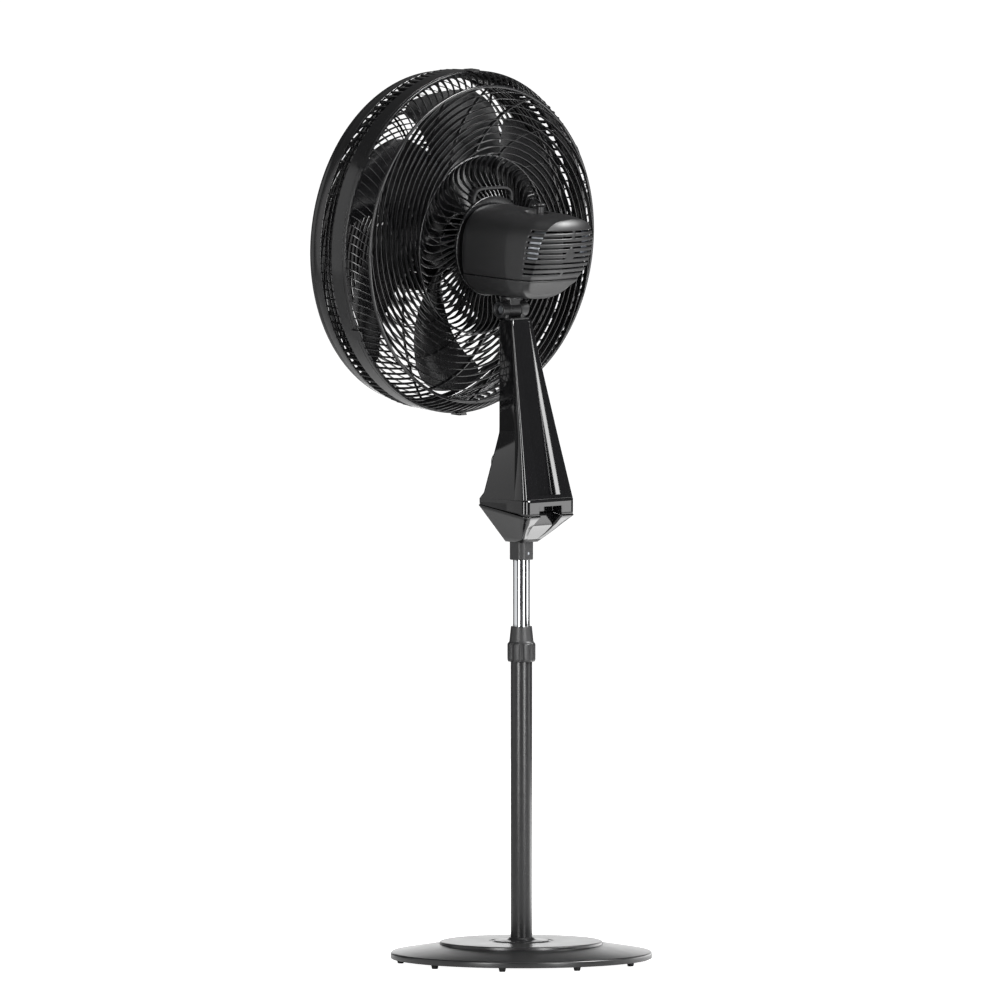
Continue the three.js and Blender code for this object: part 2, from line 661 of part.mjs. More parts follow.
// A flat arch over the housing, standing on the hub ring's rear face.
function carryHandle() {
  const outline = (half, foot, shoulder, crown) => {
    const path = new THREE.Path();
    path.moveTo(-half, foot);
    path.lineTo(half, foot);
    path.lineTo(half, shoulder);
    path.bezierCurveTo(half, crown - 2, half * 0.6, crown, 0, crown);
    path.bezierCurveTo(-half * 0.6, crown, -half, crown - 2, -half, shoulder);
    path.closePath();
    return path.getPoints(5);
  };
  const block = (points, from, to) => {
    const shape = new THREE.Shape(points);
    const depth = to - from;
    const made = new THREE.ExtrudeGeometry(shape, { depth, bevelEnabled: false, curveSegments: 5 });
    return solid(made.rotateX(Math.PI / 2).translate(0, to, 0));
  };
  const whole = block(outline(43, 68, 78, 91), HUB_RING_Y + GAP, -25);
  return whole.subtract(block(outline(37.5, 60, 75, 86), -60, -10));
}

function addGuard() {
  place("rear_grille", rearGrille(), guardPlastic, head);
  place("front_grille", frontGrille(), guardPlastic, head);
  const badge = turned(
    [
      [0, GUARD_FRONT_Y - 18],
      [40, GUARD_FRONT_Y - 17],
      [56, GUARD_FRONT_Y - 14],
      [56, GUARD_FRONT_Y - 10],
      [0, GUARD_FRONT_Y - 10],
    ],
    32,
  );
  place("front_cap", alongShaft(badge), gloss, head);
  for (let i = 0; i < CLIP_COUNT; i++) {
    const clip = box([-9, GUARD_RIM_Y - 6, GUARD_RADIUS + GAP], [9, GUARD_RIM_Y + 13, GUARD_RADIUS + 2.6]);
    const mesh = place("guard_clip_" + (i + 1), clip, guardPlastic, head);
    mesh.rotation.y = (i * 2 * Math.PI) / CLIP_COUNT;
  }
  const nutRing = tube(51, 40, HUB_RING_Y - 8, HUB_RING_Y + 2, 24);
  place("guard_nut", alongShaft(nutRing), satin, head);
  place("carry_handle", carryHandle(), satin, head);
}

// ---- impeller ----
// One blade: a thin twisted sheet, its sections set along the radius.
function blade(start) {
  const stations = [38, 90, 150, 205, BLADE_TIP_RADIUS];
  const sections = stations.map((radius, i) => {
    const along = i / (stations.length - 1);
    const width = 44 - 4 * along;
    const centre = start + 26 * along * along;
    const rise = 22 - 8 * along;
    const thick = 3 - 1.2 * along;
    const row = (offset, order) =>
      order.map((t) => polar(radius, centre + (t - 0.5) * width, -137 + (t - 0.5) * 2 * rise + offset));
    return [...row(-thick / 2, [0, 0.33, 0.67, 1]), ...row(thick / 2, [1, 0.67, 0.33, 0])];
  });
  return solid(loft(sections));
}

function addImpeller() {
  const profile = [
    [SHAFT_RADIUS + 0.4, -163],
    [38, -163],
    [45, -156],
    [45, -112],
    [SHAFT_RADIUS + 0.4, -112],
  ];
  const hub = solid(alongShaft(ring(profile, 24)));
  const bore = hoop(40, 0, -152, -100, 16);
  const blades = [];
  for (let i = 0; i < BLADE_COUNT; i++) blades.push(blade((i * 360) / BLADE_COUNT));
  place("impeller", hub.add(union(blades).subtract(bore)), bladePlastic, head);
  const spinner = [
    [SHAFT_RADIUS + 0.6, -178],
    [12, -178],
    [17, -163 - GAP],
    [SHAFT_RADIUS + 0.6, -163 - GAP],
  ];
  place("blade_nut", alongShaft(ring(spinner, 20)), satin, head);
  place("shaft", alongShaft(tube(SHAFT_RADIUS, 0, -172, 52, 16)), steel, head);
  place("rotor", alongShaft(tube(28, SHAFT_RADIUS + 0.3, -26, 24, 28)), steel, head);
}

addBase();
addMast();
addColumn();
addTiltJoint();
addHousing();
addMotor();
addGuard();
addImpeller();

export default fan;
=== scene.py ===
import json
import math

import bmesh
import bpy
import mathutils
import numpy as np
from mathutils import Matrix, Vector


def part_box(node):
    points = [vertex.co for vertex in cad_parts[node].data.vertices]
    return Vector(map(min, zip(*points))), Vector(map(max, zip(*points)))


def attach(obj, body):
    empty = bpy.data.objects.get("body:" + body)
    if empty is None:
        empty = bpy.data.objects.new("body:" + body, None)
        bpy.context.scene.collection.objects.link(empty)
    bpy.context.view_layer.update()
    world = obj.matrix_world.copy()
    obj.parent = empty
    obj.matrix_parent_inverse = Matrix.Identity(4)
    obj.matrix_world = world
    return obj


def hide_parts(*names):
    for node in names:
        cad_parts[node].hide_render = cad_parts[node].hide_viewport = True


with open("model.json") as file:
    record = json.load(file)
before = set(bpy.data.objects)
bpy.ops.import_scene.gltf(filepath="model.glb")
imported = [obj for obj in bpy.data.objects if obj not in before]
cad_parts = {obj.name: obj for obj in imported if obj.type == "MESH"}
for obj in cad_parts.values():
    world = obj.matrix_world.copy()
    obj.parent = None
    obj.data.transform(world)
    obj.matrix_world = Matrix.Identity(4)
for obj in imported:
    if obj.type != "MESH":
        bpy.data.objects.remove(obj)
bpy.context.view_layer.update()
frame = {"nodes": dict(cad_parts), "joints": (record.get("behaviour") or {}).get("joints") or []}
MM = 0.001


# ---- base disc ----
# The foot of the fan is one round steel pressing, 400 mm across. It is drawn in a press, its rim
# is folded down, and a raised centre disc and a shallow groove stiffen it. It is powder coated.
def rounded(corners, radius, steps=7):
    """Corners joined by straight runs. Each corner becomes a quadratic arc that starts and ends
    one radius from it, or just under half a run where the run is short. Works on stacks."""
    corners = np.asarray(corners, float)
    before = np.roll(corners, 1, axis=-2) - corners
    after = np.roll(corners, -1, axis=-2) - corners
    run_in = np.maximum(np.linalg.norm(before, axis=-1, keepdims=True), 1e-9)
    run_out = np.maximum(np.linalg.norm(after, axis=-1, keepdims=True), 1e-9)
    radius = np.broadcast_to(radius, corners.shape[:-1])[..., None]
    cut = np.minimum(radius, 0.48 * np.minimum(run_in, run_out))
    start = (corners + before / run_in * cut)[..., None, :]
    end = (corners + after / run_out * cut)[..., None, :]
    t = np.linspace(0, 1, steps)[:, None]
    arc = (1 - t) ** 2 * start + 2 * t * (1 - t) * corners[..., None, :] + t**2 * end
    return arc.reshape(*corners.shape[:-2], -1, corners.shape[-1])


def turned(profile, sides=96):
    """Radius and height of a closed profile, carried round +Z: x = radius times the cosine of the
    turn, y = radius times its sine, z = height."""
    turn = np.linspace(0, 2 * math.pi, sides, endpoint=False)
    radius, height = np.asarray(profile, float).T
    x = radius[:, None] * np.cos(turn)
    y = radius[:, None] * np.sin(turn)
    z = np.broadcast_to(height[:, None], x.shape)
    return np.stack([x, y, z], axis=-1)


def cells(grid, wrap_rows, wrap_columns, keep=None):
    """The four corner numbers of each cell of a rows by columns grid, or of a stack of grids.
    A wrapped direction joins its last line of points to its first."""
    *_, rows, columns, _ = grid.shape
    row = np.arange(rows if wrap_rows else rows - 1)[:, None]
    column = np.arange(columns if wrap_columns else columns - 1)
    below, beside = (row + 1) % rows, (column + 1) % columns
    corners = [row * columns + column, row * columns + beside]
    corners += [below * columns + beside, below * columns + column]
    quads = np.stack(np.broadcast_arrays(*corners), axis=-1)
    quads = quads[keep] if keep is not None else quads.reshape(-1, 4)
    stack = grid.size // (rows * columns * 3)
    return (quads + np.arange(stack)[:, None, None] * rows * columns).reshape(-1, 4)


def put(name, patches, material, body, replaces=(), sharp=35):
    """One mesh object from patches of (grid, wrap rows, wrap columns[, kept cells]), with its
    seams and poles welded and its faces turned outwards."""
    points, quads, start = [], [], 0
    for grid, *rest in patches:
        points.append(grid.reshape(-1, 3))
        quads.append(cells(grid, *rest) + start)
        start += len(points[-1])
    mesh = bpy.data.meshes.new(name)
    mesh.from_pydata(np.concatenate(points), [], np.concatenate(quads))
    shell = bmesh.new()
    shell.from_mesh(mesh)
    bmesh.ops.remove_doubles(shell, verts=shell.verts, dist=2e-6)
    bmesh.ops.dissolve_degenerate(shell, edges=shell.edges, dist=1e-6)
    bmesh.ops.recalc_face_normals(shell, faces=shell.faces)
    shell.to_mesh(mesh)
    shell.free()
    mesh.polygons.foreach_set("use_smooth", np.ones(len(mesh.polygons), bool))
    mesh.set_sharp_from_angle(angle=math.radians(sharp))
    mesh.materials.append(material)
    piece = bpy.data.objects.new(name, mesh)
    bpy.context.collection.objects.link(piece)
    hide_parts(*replaces)
    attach(piece, body)
    return piece


def put_closed(name, grid, material, body):
    """One piece from a single closed grid, in place of the CAD node of the same name."""
    return put(name, [(grid, True, True)], material, body, [name])


def linear(colour):
    """A colour written as an sRGB hex value, in the linear light that Blender works in."""
    channels = np.array([int(colour[i : i + 2], 16) for i in (1, 3, 5)]) / 255
    low, high = channels / 12.92, ((channels + 0.055) / 1.055) ** 2.4
    return (*np.where(channels <= 0.04045, low, high).tolist(), 1.0)


def add(tree, kind, settings, links=()):
    """Adds a node. A setting named after one of its inputs, or given by the input's number, sets
    that input, and any other sets the node's own property. Links join outputs to inputs."""
    node = tree.nodes.new(kind)
    for name, value in settings.items():
        if isinstance(name, int) or name in node.inputs:
            node.inputs[name].default_value = value
        else:
            setattr(node, name, value)
    for name, output in dict(links).items():
        tree.links.new(output, node.inputs[name])
    return node


def finish_of(name, light, dark, roughness, spread, grain_mm, bump_mm, settings=()):
    """A surface whose colour and roughness wander between two values over patches some
    twenty grains wide, and whose height varies over single grains."""
    material = bpy.data.materials.new(name)
    material.use_nodes = True
    tree = material.node_tree
    shader = tree.nodes["Principled BSDF"]
    place = add(tree, "ShaderNodeTexCoord", {}).outputs["Object"]
    per_metre = 1000 / grain_mm
    patches = add(
        tree, "ShaderNodeTexNoise", {"Scale": per_metre / 20, "Detail": 3.0}, {"Vector": place}
    )
    grain = add(
        tree, "ShaderNodeTexNoise", {"Scale": per_metre, "Detail": 2.0}, {"Vector": place}
    )
    colour = add(
        tree,
        "ShaderNodeMix",
        {"data_type": "RGBA", 6: linear(dark), 7: linear(light)},
        {0: patches.outputs["Fac"]},
    )
    sheen = add(
        tree,
        "ShaderNodeMapRange",
        {"To Min": roughness - spread, "To Max": roughness + spread},
        {"Value": patches.outputs["Fac"]},
    )
    relief = add(
        tree,
        "ShaderNodeBump",
        {"Strength": 1.0, "Distance": bump_mm * MM},
        {"Height": grain.outputs["Fac"]},
    )
    tree.links.new(colour.outputs[2], shader.inputs["Base Color"])
    tree.links.new(sheen.outputs["Result"], shader.inputs["Roughness"])
    tree.links.new(relief.outputs["Normal"], shader.inputs["Normal"])
    for key, value in dict(settings).items():
        shader.inputs[key].default_value = value
    return material


# Satin black polyester powder coat on steel: an even, soft gloss over nearly black, with hardly
# any orange peel.
powder_coat = finish_of("satin black powder coat", "#111112", "#0d0d0e", 0.3, 0.04, 1.6, 0.0005)

base_low, base_high = (np.array(corner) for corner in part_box("base_disc"))
rim_radius, base_top = base_high[0], base_high[2]
sheet = 3 * MM
base_profile = [
    (rim_radius - sheet, base_low[2]),
    (rim_radius, base_low[2]),
    (rim_radius, 15.8 * MM),
    (127.2 * MM, 27.9 * MM),
    (126.2 * MM, 26.9 * MM),
    (124.9 * MM, 27.1 * MM),
    (124.4 * MM, base_top - 0.7 * MM),
    (122.5 * MM, base_top),
    (50.5 * MM, base_top),
    (49.0 * MM, base_top - 0.9 * MM),
    (46.0 * MM, base_top - 0.9 * MM),
    (44.5 * MM, base_top),
    (14.0 * MM, base_top),
    (14.0 * MM, base_top - sheet),
    (121.0 * MM, base_top - sheet),
    (123.0 * MM, 24.5 * MM),
    (rim_radius - sheet, 12.6 * MM),
]
base_bends = np.array([0.3, 0.6, 3, 0.5, 0.4, 0.4, 0.8, 1, 1, 0.6, 0.6, 1, 0.3, 0.3, 2, 2, 3]) * MM
base_disc = turned(rounded(base_profile, base_bends), 288)
put_closed("base_disc", base_disc, powder_coat, "base")

# ---- feet and what holds the base together ----
# Ten small tapered feet of black rubber are pressed into a steel ring under the rim. A hand screw
# with a washer pulls the base up against the tube. The screw is moulded, the washer zinc plated.
rubber = finish_of("moulded black rubber", "#121212", "#0b0b0b", 0.78, 0.06, 0.8, 0.02)
foot_profile = np.array([(0, 0), (4.5, 0), (6, 7.5), (0, 7.5)]) * MM
foot_round = turned(rounded(foot_profile, np.array([0, 0.9, 0.3, 0]) * MM, 5), 24)
foot_count = 10
for number in range(1, foot_count + 1):
    name = f"foot_{number:02d}"
    low, high = (np.array(corner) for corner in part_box(name))
    middle = (low + high) / 2 * [1, 1, 0]
    put_closed(name, foot_round + middle, rubber, "base")

# ABS moulded against a lightly etched tool: satin, nearly black.
moulded_abs = finish_of("satin moulded ABS", "#1c1c1d", "#151516", 0.42, 0.05, 0.9, 0.012)
# Blue-white zinc plating: a metal with a faint mottle.
zinc_plate = finish_of(
    "zinc plated steel", "#b9bcc0", "#9b9fa5", 0.32, 0.08, 1.2, 0.004, {"Metallic": 1.0}
)


def paint_node(name, material):
    """Gives a CAD node its finish, and keeps its mesh."""
    node = frame["nodes"][name]
    node.data.materials.clear()
    node.data.materials.append(material)


for name, material, slot in [
    ("foot_ring", powder_coat, "paint"),
    ("base_washer", zinc_plate, "zinc_steel"),
    ("base_hand_screw", moulded_abs, "grip_plastic"),
]:
    paint_node(name, material)

# ---- mast ----
# A painted steel tube stands on a spun flange. The chromed tube slides in it, held by a split
# sleeve that the moulded lock nut squeezes. The nut has eight wide flutes for the hand.
flange_low, flange_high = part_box("base_flange")
flange_profile = [
    (17.0 * MM, flange_low[2]),
    (flange_high[0], flange_low[2]),
    (flange_high[0], flange_low[2] + 0.8 * MM),
    (22.0 * MM, flange_low[2] + 1.8 * MM),
    (18.2 * MM, flange_low[2] + 5.5 * MM),
    (17.0 * MM, flange_low[2] + 5.5 * MM),
]
flange_bends = np.array([0.2, 0.3, 0.5, 3, 1.2, 0.4]) * MM
flange = turned(rounded(flange_profile, flange_bends), 128)
put_closed("base_flange", flange, powder_coat, "base")


def pipe(node, wall):
    """A straight pipe about the mast's axis: the outer wall of the CAD node, and a bore."""
    low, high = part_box(node)
    outer = high[0]
    outline = [
        (outer - wall, low[2]),
        (outer, low[2]),
        (outer, high[2]),
        (outer - wall, high[2]),
    ]
    return turned(rounded(outline, 0.4 * MM, 4), 160)


lower_wall, upper_wall = 1.5 * MM, 1.2 * MM
put_closed("lower_tube", pipe("lower_tube", lower_wall), powder_coat, "base")

# Bright nickel and chrome on a polished steel tube: a plain mirror, slightly uneven in gloss.
chrome = finish_of(
    "bright chrome plate", "#dfe1e3", "#d3d5d8", 0.06, 0.01, 6.0, 0.0, {"Metallic": 1.0}
)
put_closed("upper_tube", pipe("upper_tube", upper_wall), chrome, "mast")

nut_low, nut_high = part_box("lock_nut")
nut_foot, nut_head = nut_low[2], nut_high[2]
nut_profile = [
    (17.4 * MM, nut_foot),
    (20.9 * MM, nut_foot),
    (21.9 * MM, nut_foot + 3 * MM),
    (21.9 * MM, nut_foot + 27 * MM),
    (18.6 * MM, nut_foot + 30.5 * MM),
    (16.2 * MM, nut_head),
    (13.6 * MM, nut_head),
    (13.6 * MM, nut_foot + 36 * MM),
    (17.4 * MM, nut_foot + 29 * MM),
]
nut_outline = rounded(nut_profile, np.array([0.3, 1, 1.5, 1.2, 1.5, 1, 0.3, 0.5, 0.5]) * MM)
flute_count, flute_depth, flute_floor = 8, 2.8 * MM, 19.5 * MM
flute_top, flute_run_in, flute_run_out = nut_foot + 29 * MM, 2 * MM, 3 * MM


def fluted(outline, sides):
    """The turned outline with hollows: between the foot and the taper the radius drops by the
    depth times the cosine of the count times the turn, to the power 0.6, where that is positive."""
    grid = turned(outline, sides)
    turn = np.linspace(0, 2 * math.pi, sides, endpoint=False)
    hollow = np.clip(np.cos(flute_count * turn), 0, 1) ** 0.6
    outer = outline[:, 0] > flute_floor
    rise = np.clip((outline[:, 1] - nut_foot) / flute_run_in, 0, 1)
    fall = np.clip((flute_top - outline[:, 1]) / flute_run_out, 0, 1)
    drop = flute_depth * hollow * (outer * rise * fall)[:, None]
    reach = np.hypot(grid[..., 0], grid[..., 1])
    grid[..., :2] *= (1 - drop / reach)[..., None]
    return grid


put_closed("lock_nut", fluted(nut_outline, 256), moulded_abs, "lock_nut")
paint_node("clamp_sleeve", moulded_abs)


# The collar under the column is a moulded ring with one flat at the side and one at the rear. A
# screw sits in a round hole in the rear flat and holds the chromed tube.
def collar_grid(columns=300, rows=64):
    """A round wall, cut by two flats: the radius is the smallest of the round one and of each
    flat's distance over the cosine of the turn away from it. The screw's hole is where the wall
    is pushed in, inside a circle on the rear flat."""
    low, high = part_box("column_collar")
    bore, radius = 13.4 * MM, 17.9 * MM
    side_flat, rear_flat, chamfer_size = 15.6 * MM, 16.0 * MM, 0.8 * MM
    hole_height, hole_radius, hole_depth = 10 * MM, 2.3 * MM, 2.2 * MM
    turn = np.linspace(0, 2 * math.pi, columns, endpoint=False)
    side = side_flat / np.maximum(np.cos(turn), 0.1)
    rear = rear_flat / np.maximum(np.sin(turn), 0.1)
    wall = np.minimum(np.minimum(side, rear), radius)
    outer_z = np.linspace(low[2], high[2], rows)
    edge = np.minimum(outer_z - low[2], high[2] - outer_z)
    chamfer = np.clip(chamfer_size - edge, 0, None)
    outer = wall[None] - chamfer[:, None]
    across = outer * np.cos(turn)
    hole = np.hypot(across, (outer_z - low[2] - hole_height)[:, None]) < hole_radius
    outer = outer - hole_depth * (hole & (np.sin(turn) > 0))
    radii = np.concatenate([outer, np.full((1, columns), bore), np.full((1, columns), bore)])
    z = np.concatenate([outer_z, [high[2], low[2]]])
    x, y = radii * np.cos(turn), radii * np.sin(turn)
    return np.stack([x, y, np.broadcast_to(z[:, None], x.shape)], axis=-1)


put_closed("column_collar", collar_grid(), moulded_abs, "mast")
paint_node("collar_screw", zinc_plate)

# ---- control column ----
# The column is a tall tapered shell of high gloss ABS, moulded in two halves that meet along its
# sides, with a faceted skirt under it. The rear half has a long channel that runs out upwards,
# and the cord leaves through a recess in the rear of the band and the skirt.
# Polished tool, no grain: a hard mirror over black.
gloss_abs = finish_of("high gloss ABS", "#0d0d0e", "#0a0a0b", 0.07, 0.02, 3.0, 0.0012)
band_foot_front, band_foot_rear, band_top = 704 * MM, 688 * MM, 712 * MM
shell_low, shell_high = (np.array(corner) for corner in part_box("column_shell"))
neck_top, console_foot, console_bend = shell_high[2], 721 * MM, 812 * MM
band_front, band_rear, band_half = shell_low[1], shell_high[1], shell_high[0]
top_half, top_front, top_rear = 20.8 * MM, -29.5 * MM, 1 * MM
channel_foot, channel_head = 719 * MM, 972 * MM
channel_lip, channel_fall, channel_draft = 0.4 * MM, 12.6 * MM, 0.48
recess_half, recess_floor, recess_head = 24 * MM, 43.5 * MM, 702 * MM
column_wall, cover_wall, lip_foot = 2.6 * MM, 2 * MM, 708 * MM


def column_loop(
    front_half, front_y, rear_half, rear_y, notch_half, notch_depth, bends, draft=0.0
):
    """One closed loop per height. It starts where the two halves meet on the right, and goes
    round the rear, with a notch in it, to the left, and round the front. The halves part 5 mm
    before the rear plus 0.3 times the way that the rear stands out past the top's. The notch
    narrows by the draft times its depth on each side. Every corner keeps its number of points,
    so that the loops make a grid."""
    slope = (rear_half - front_half) / (rear_y - front_y)
    split_depth = 5 * MM + 0.3 * np.clip(rear_y - top_rear, 0, None)
    split_y = rear_y - split_depth
    split_half = rear_half - slope * split_depth
    floor_y = rear_y - notch_depth
    floor_half = notch_half - draft * notch_depth
    corners = [
        (split_half, split_y),
        (rear_half, rear_y),
        (notch_half, rear_y),
        (floor_half, floor_y),
        (-floor_half, floor_y),
        (-notch_half, rear_y),
        (-rear_half, rear_y),
        (-split_half, split_y),
        (-front_half, front_y),
        (front_half, front_y),
    ]
    corners = np.stack([np.stack(pair, axis=-1) for pair in corners], axis=-2)
    return rounded(corners, np.array(bends) * MM)


def raised(loops, z):
    """The loops set at their heights, which may differ from point to point."""
    return np.concatenate([loops, np.broadcast_to(z, loops.shape[:-1])[..., None]], axis=-1)


def seam_height(y):
    """The slanting seam between band and skirt: lower at the rear."""
    drop, length = band_foot_rear - band_foot_front, band_rear - band_front
    return band_foot_front + drop * (y - band_front) / length


def full(value, like):
    """The same value for each entry of an array."""
    return np.full(like.shape, value)


corner_bends = np.array([0, 12, 0.8, 1, 1, 0.8, 12, 0, 6, 6])
rise = np.array([0, 0.25, 0.5, 0.75, 1, 1, 1, 1])
notched = np.array([1, 1, 1, 1, 1, 0, 0, 0])
band_loops = column_loop(
    full(band_half, rise),
    full(band_front, rise),
    full(band_half, rise),
    full(band_rear, rise),
    full(recess_half, rise),
    notched * (band_rear - recess_floor),
    corner_bends,
)
foot_z = seam_height(band_loops[..., 1])
band_z = foot_z + rise[:, None] * (np.maximum(recess_head, foot_z) - foot_z)
band_z[-2], band_z[-1] = lip_foot, band_top
band_grid = raised(band_loops, band_z)

# Heights up the column: close together up to a little above the bend of the sides. The channel's
# foot comes twice, so that the rear steps in there.
past_bend = console_bend + 20 * MM
tall = np.concatenate(
    [
        np.linspace(band_top, console_foot, 6),
        np.linspace(console_foot, past_bend, 40)[1:],
        np.linspace(past_bend, neck_top, 12)[1:],
    ]
)
tall = np.sort(np.concatenate([tall, [channel_foot, channel_foot]]))
channelled = np.cumsum(tall == channel_foot) >= 2
below_top = neck_top - tall
down = below_top / (neck_top - band_top)
# Below the bend the front corners spread by 29.2 mm in 91 mm of height. A hyperbola rounds the
# bend off over 3 mm: half of the way below it plus the root of that way and 3 mm, both squared.
bend = console_bend - tall
flare = 0.5 * (bend + np.sqrt(bend**2 + (3 * MM) ** 2)) * 29.2 / 91
flare = np.where(tall < console_foot, flare[np.searchsorted(tall, console_foot)], flare)
shoulder = np.clip((console_foot - tall) / (console_foot - band_top), 0, 1)
tall_front = top_half + flare
tall_front += (band_half - tall_front) * shoulder
front_swell = 5 * MM
front_y = top_front - front_swell * np.clip(bend / (console_bend - console_foot), 0, 1)
front_y += (band_front - front_y) * shoulder
tall_rear = top_half + (band_half - top_half) * down
rear_y = top_rear + (band_rear - 0.5 * MM - top_rear) * down
run = np.clip((channel_head - tall) / (channel_head - channel_foot), 0, 1)
channel_half = (15 + 8.5 * run) * MM
channel_depth = channel_lip + channel_fall * run
channel_depth = np.where(channelled & (tall < channel_head), channel_depth, 0)
tall_loops = column_loop(
    tall_front,
    front_y,
    tall_rear,
    rear_y,
    channel_half,
    channel_depth,
    corner_bends,
    channel_draft,
)
tall_grid = raised(tall_loops, tall[:, None])
steps = 7
rear_part = slice(steps - 1, 7 * steps + 1)
seam_gap = 0.35 * MM
front_part = np.concatenate([np.arange(8 * steps - 1, 10 * steps), [0]])
front_grid = tall_grid[:, front_part].copy()
front_grid[:, [0, -1], 1] -= seam_gap
rear_grid = tall_grid[:, rear_part].copy()
rear_grid[0, :, 2] += seam_gap


def plate(loop, low, high):
    """A flat plate: the loop at two heights, closed over its middle below and above."""
    middle = loop.mean(axis=0)
    flat = np.stack([np.broadcast_to(middle, loop.shape), loop, loop])
    flat = np.concatenate([flat, flat[:1]])
    return raised(flat, np.array([low, low, high, high])[:, None])


def thickened(piece, wall):
    """Gives an open skin its wall, inwards. The wide faces keep their shading at its rims."""
    shell = piece.modifiers.new("wall", "SOLIDIFY")
    shell.thickness, shell.offset = wall, -1
    shell.use_even_offset = False
    shading = piece.modifiers.new("shading", "WEIGHTED_NORMAL")
    shading.keep_sharp = True
    return piece


thickened(
    put(
        "column_shell",
        [(band_grid, False, True), (front_grid, False, False)],
        gloss_abs,
        "mast",
        ["column_shell"],
    ),
    column_wall,
)
cover = put(
    "column_back_cover",
    [(rear_grid, False, False)],
    gloss_abs,
    "mast",
    ["column_back_cover"],
)
thickened(cover, cover_wall)
lid_low, lid_high = neck_top - 3 * MM, neck_top - 0.2 * MM
lid_loop = column_loop(
    *(np.array([value]) * MM for value in (18.4, -27, 18.4, -1.5, 9, 0)), corner_bends * 0.5
)[0]
put(
    "column_lid",
    [(plate(lid_loop, lid_low, lid_high), False, True)],
    gloss_abs,
    "mast",
)

# The skirt starts a little inside the band, and runs in to a square round the collar.
skirt_foot, foot_half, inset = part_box("column_skirt")[0][2], 18 * MM, 0.4 * MM
recess_margin = 9 * MM
recess_foot = (band_rear - inset - recess_floor) / (band_rear - foot_half)
fall = np.array([0.0, 0.1, 0.2, 0.3, recess_foot, 0.5, 0.7, 0.85, 1])
skirt_rear = band_rear - inset + (foot_half - band_rear) * fall
skirt_half = band_half - inset + (foot_half - band_half) * fall
skirt_loops = column_loop(
    skirt_half,
    band_front + inset + (-foot_half - band_front) * fall,
    skirt_half,
    skirt_rear,
    np.minimum(recess_half, skirt_half - recess_margin),
    np.clip(skirt_rear - recess_floor, 0, None),
    corner_bends,
)
top_z = seam_height(skirt_loops[0, :, 1]) - inset
skirt_z = top_z + fall[:, None] * (skirt_foot - top_z)
thickened(
    put(
        "column_skirt",
        [(raised(skirt_loops, skirt_z), False, True)],
        gloss_abs,
        "mast",
        ["column_skirt"],
    ),
    column_wall,
)

# The rotary switch, its knob at the front and the motor's capacitor sit inside the column.
for name, material, slot in [
    ("tube_socket", moulded_abs, "grip_plastic"),
    ("cord_bush", rubber, "rubber"),
    ("speed_switch", moulded_abs, "housing_plastic"),
    ("capacitor", moulded_abs, "housing_plastic"),
]:
    paint_node(name, material)


def facing_front(grid, x, z):
    """A turned grid laid on its back: its axis runs along -Y through x and z."""
    across, up, out = np.moveaxis(grid, -1, 0)
    return np.stack([x + across, -out, z + up], axis=-1)


knob_low, knob_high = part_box("speed_knob")
knob_x, knob_z = (knob_low[0] + knob_high[0]) / 2, (knob_low[2] + knob_high[2]) / 2
knob_back, knob_front = 36.5 * MM, -knob_low[1]
knob_profile = [
    (0, -knob_high[1]),
    (4 * MM, -knob_high[1]),
    (4 * MM, knob_back),
    (19 * MM, knob_back),
    (17.5 * MM, knob_front),
    (0, knob_front),
]
knob_bends = np.array([0, 0.5, 0.5, 1, 3, 0]) * MM
knob_round = turned(rounded(knob_profile, knob_bends), 180)
# Forty grip ridges: the rim's radius drops by the size of the cosine of twenty times the turn.
ridge_count, ridge_depth = 40, 0.035
knob_turn = np.linspace(0, 2 * math.pi, 180, endpoint=False)
knob_rim = (np.hypot(knob_round[..., 0], knob_round[..., 1]) > 16 * MM)[..., None]
ridges = np.abs(np.cos(ridge_count / 2 * knob_turn))[None, :, None]
knob_round[..., :2] *= 1 - ridge_depth * knob_rim * ridges
knob_place = facing_front(knob_round, knob_x, knob_z)
put_closed("speed_knob", knob_place, moulded_abs, "speed_knob")

# ---- tilt joint ----
# Two round ears on the column's top and one between them share a bolt, so that the head tilts.
# The middle ear carries the post on which the head turns. All are moulded glass-filled nylon.
joints = {joint["name"]: joint for joint in frame["joints"]}
tilt_centre = np.array(joints["tilt"]["pos_m"])


def across(grid):
    """A turned grid with its axis laid along +X through the tilt bolt."""
    a, b, c = np.moveaxis(grid, -1, 0)
    return np.stack([c, a, b], axis=-1) + tilt_centre * [0, 1, 1]


def ear(inner, outer, radius, well):
    """A barrel with its outer end sunk round the bolt: radius and distance along the bolt."""
    bore = 4.4 * MM
    outline = [
        (bore, inner),
        (radius, inner),
        (radius, outer),
        (radius - 3 * MM, outer),
        (radius - 4 * MM, outer - well),
        (bore, outer - well),
    ]
    return across(turned(rounded(outline, 0.7 * MM, 5), 72))


def block(low, high, bend):
    """A post of rounded square plan, closed at both ends."""
    corners = [(low[0], low[1]), (high[0], low[1]), (high[0], high[1]), (low[0], high[1])]
    return plate(rounded(corners, bend), low[2], high[2])


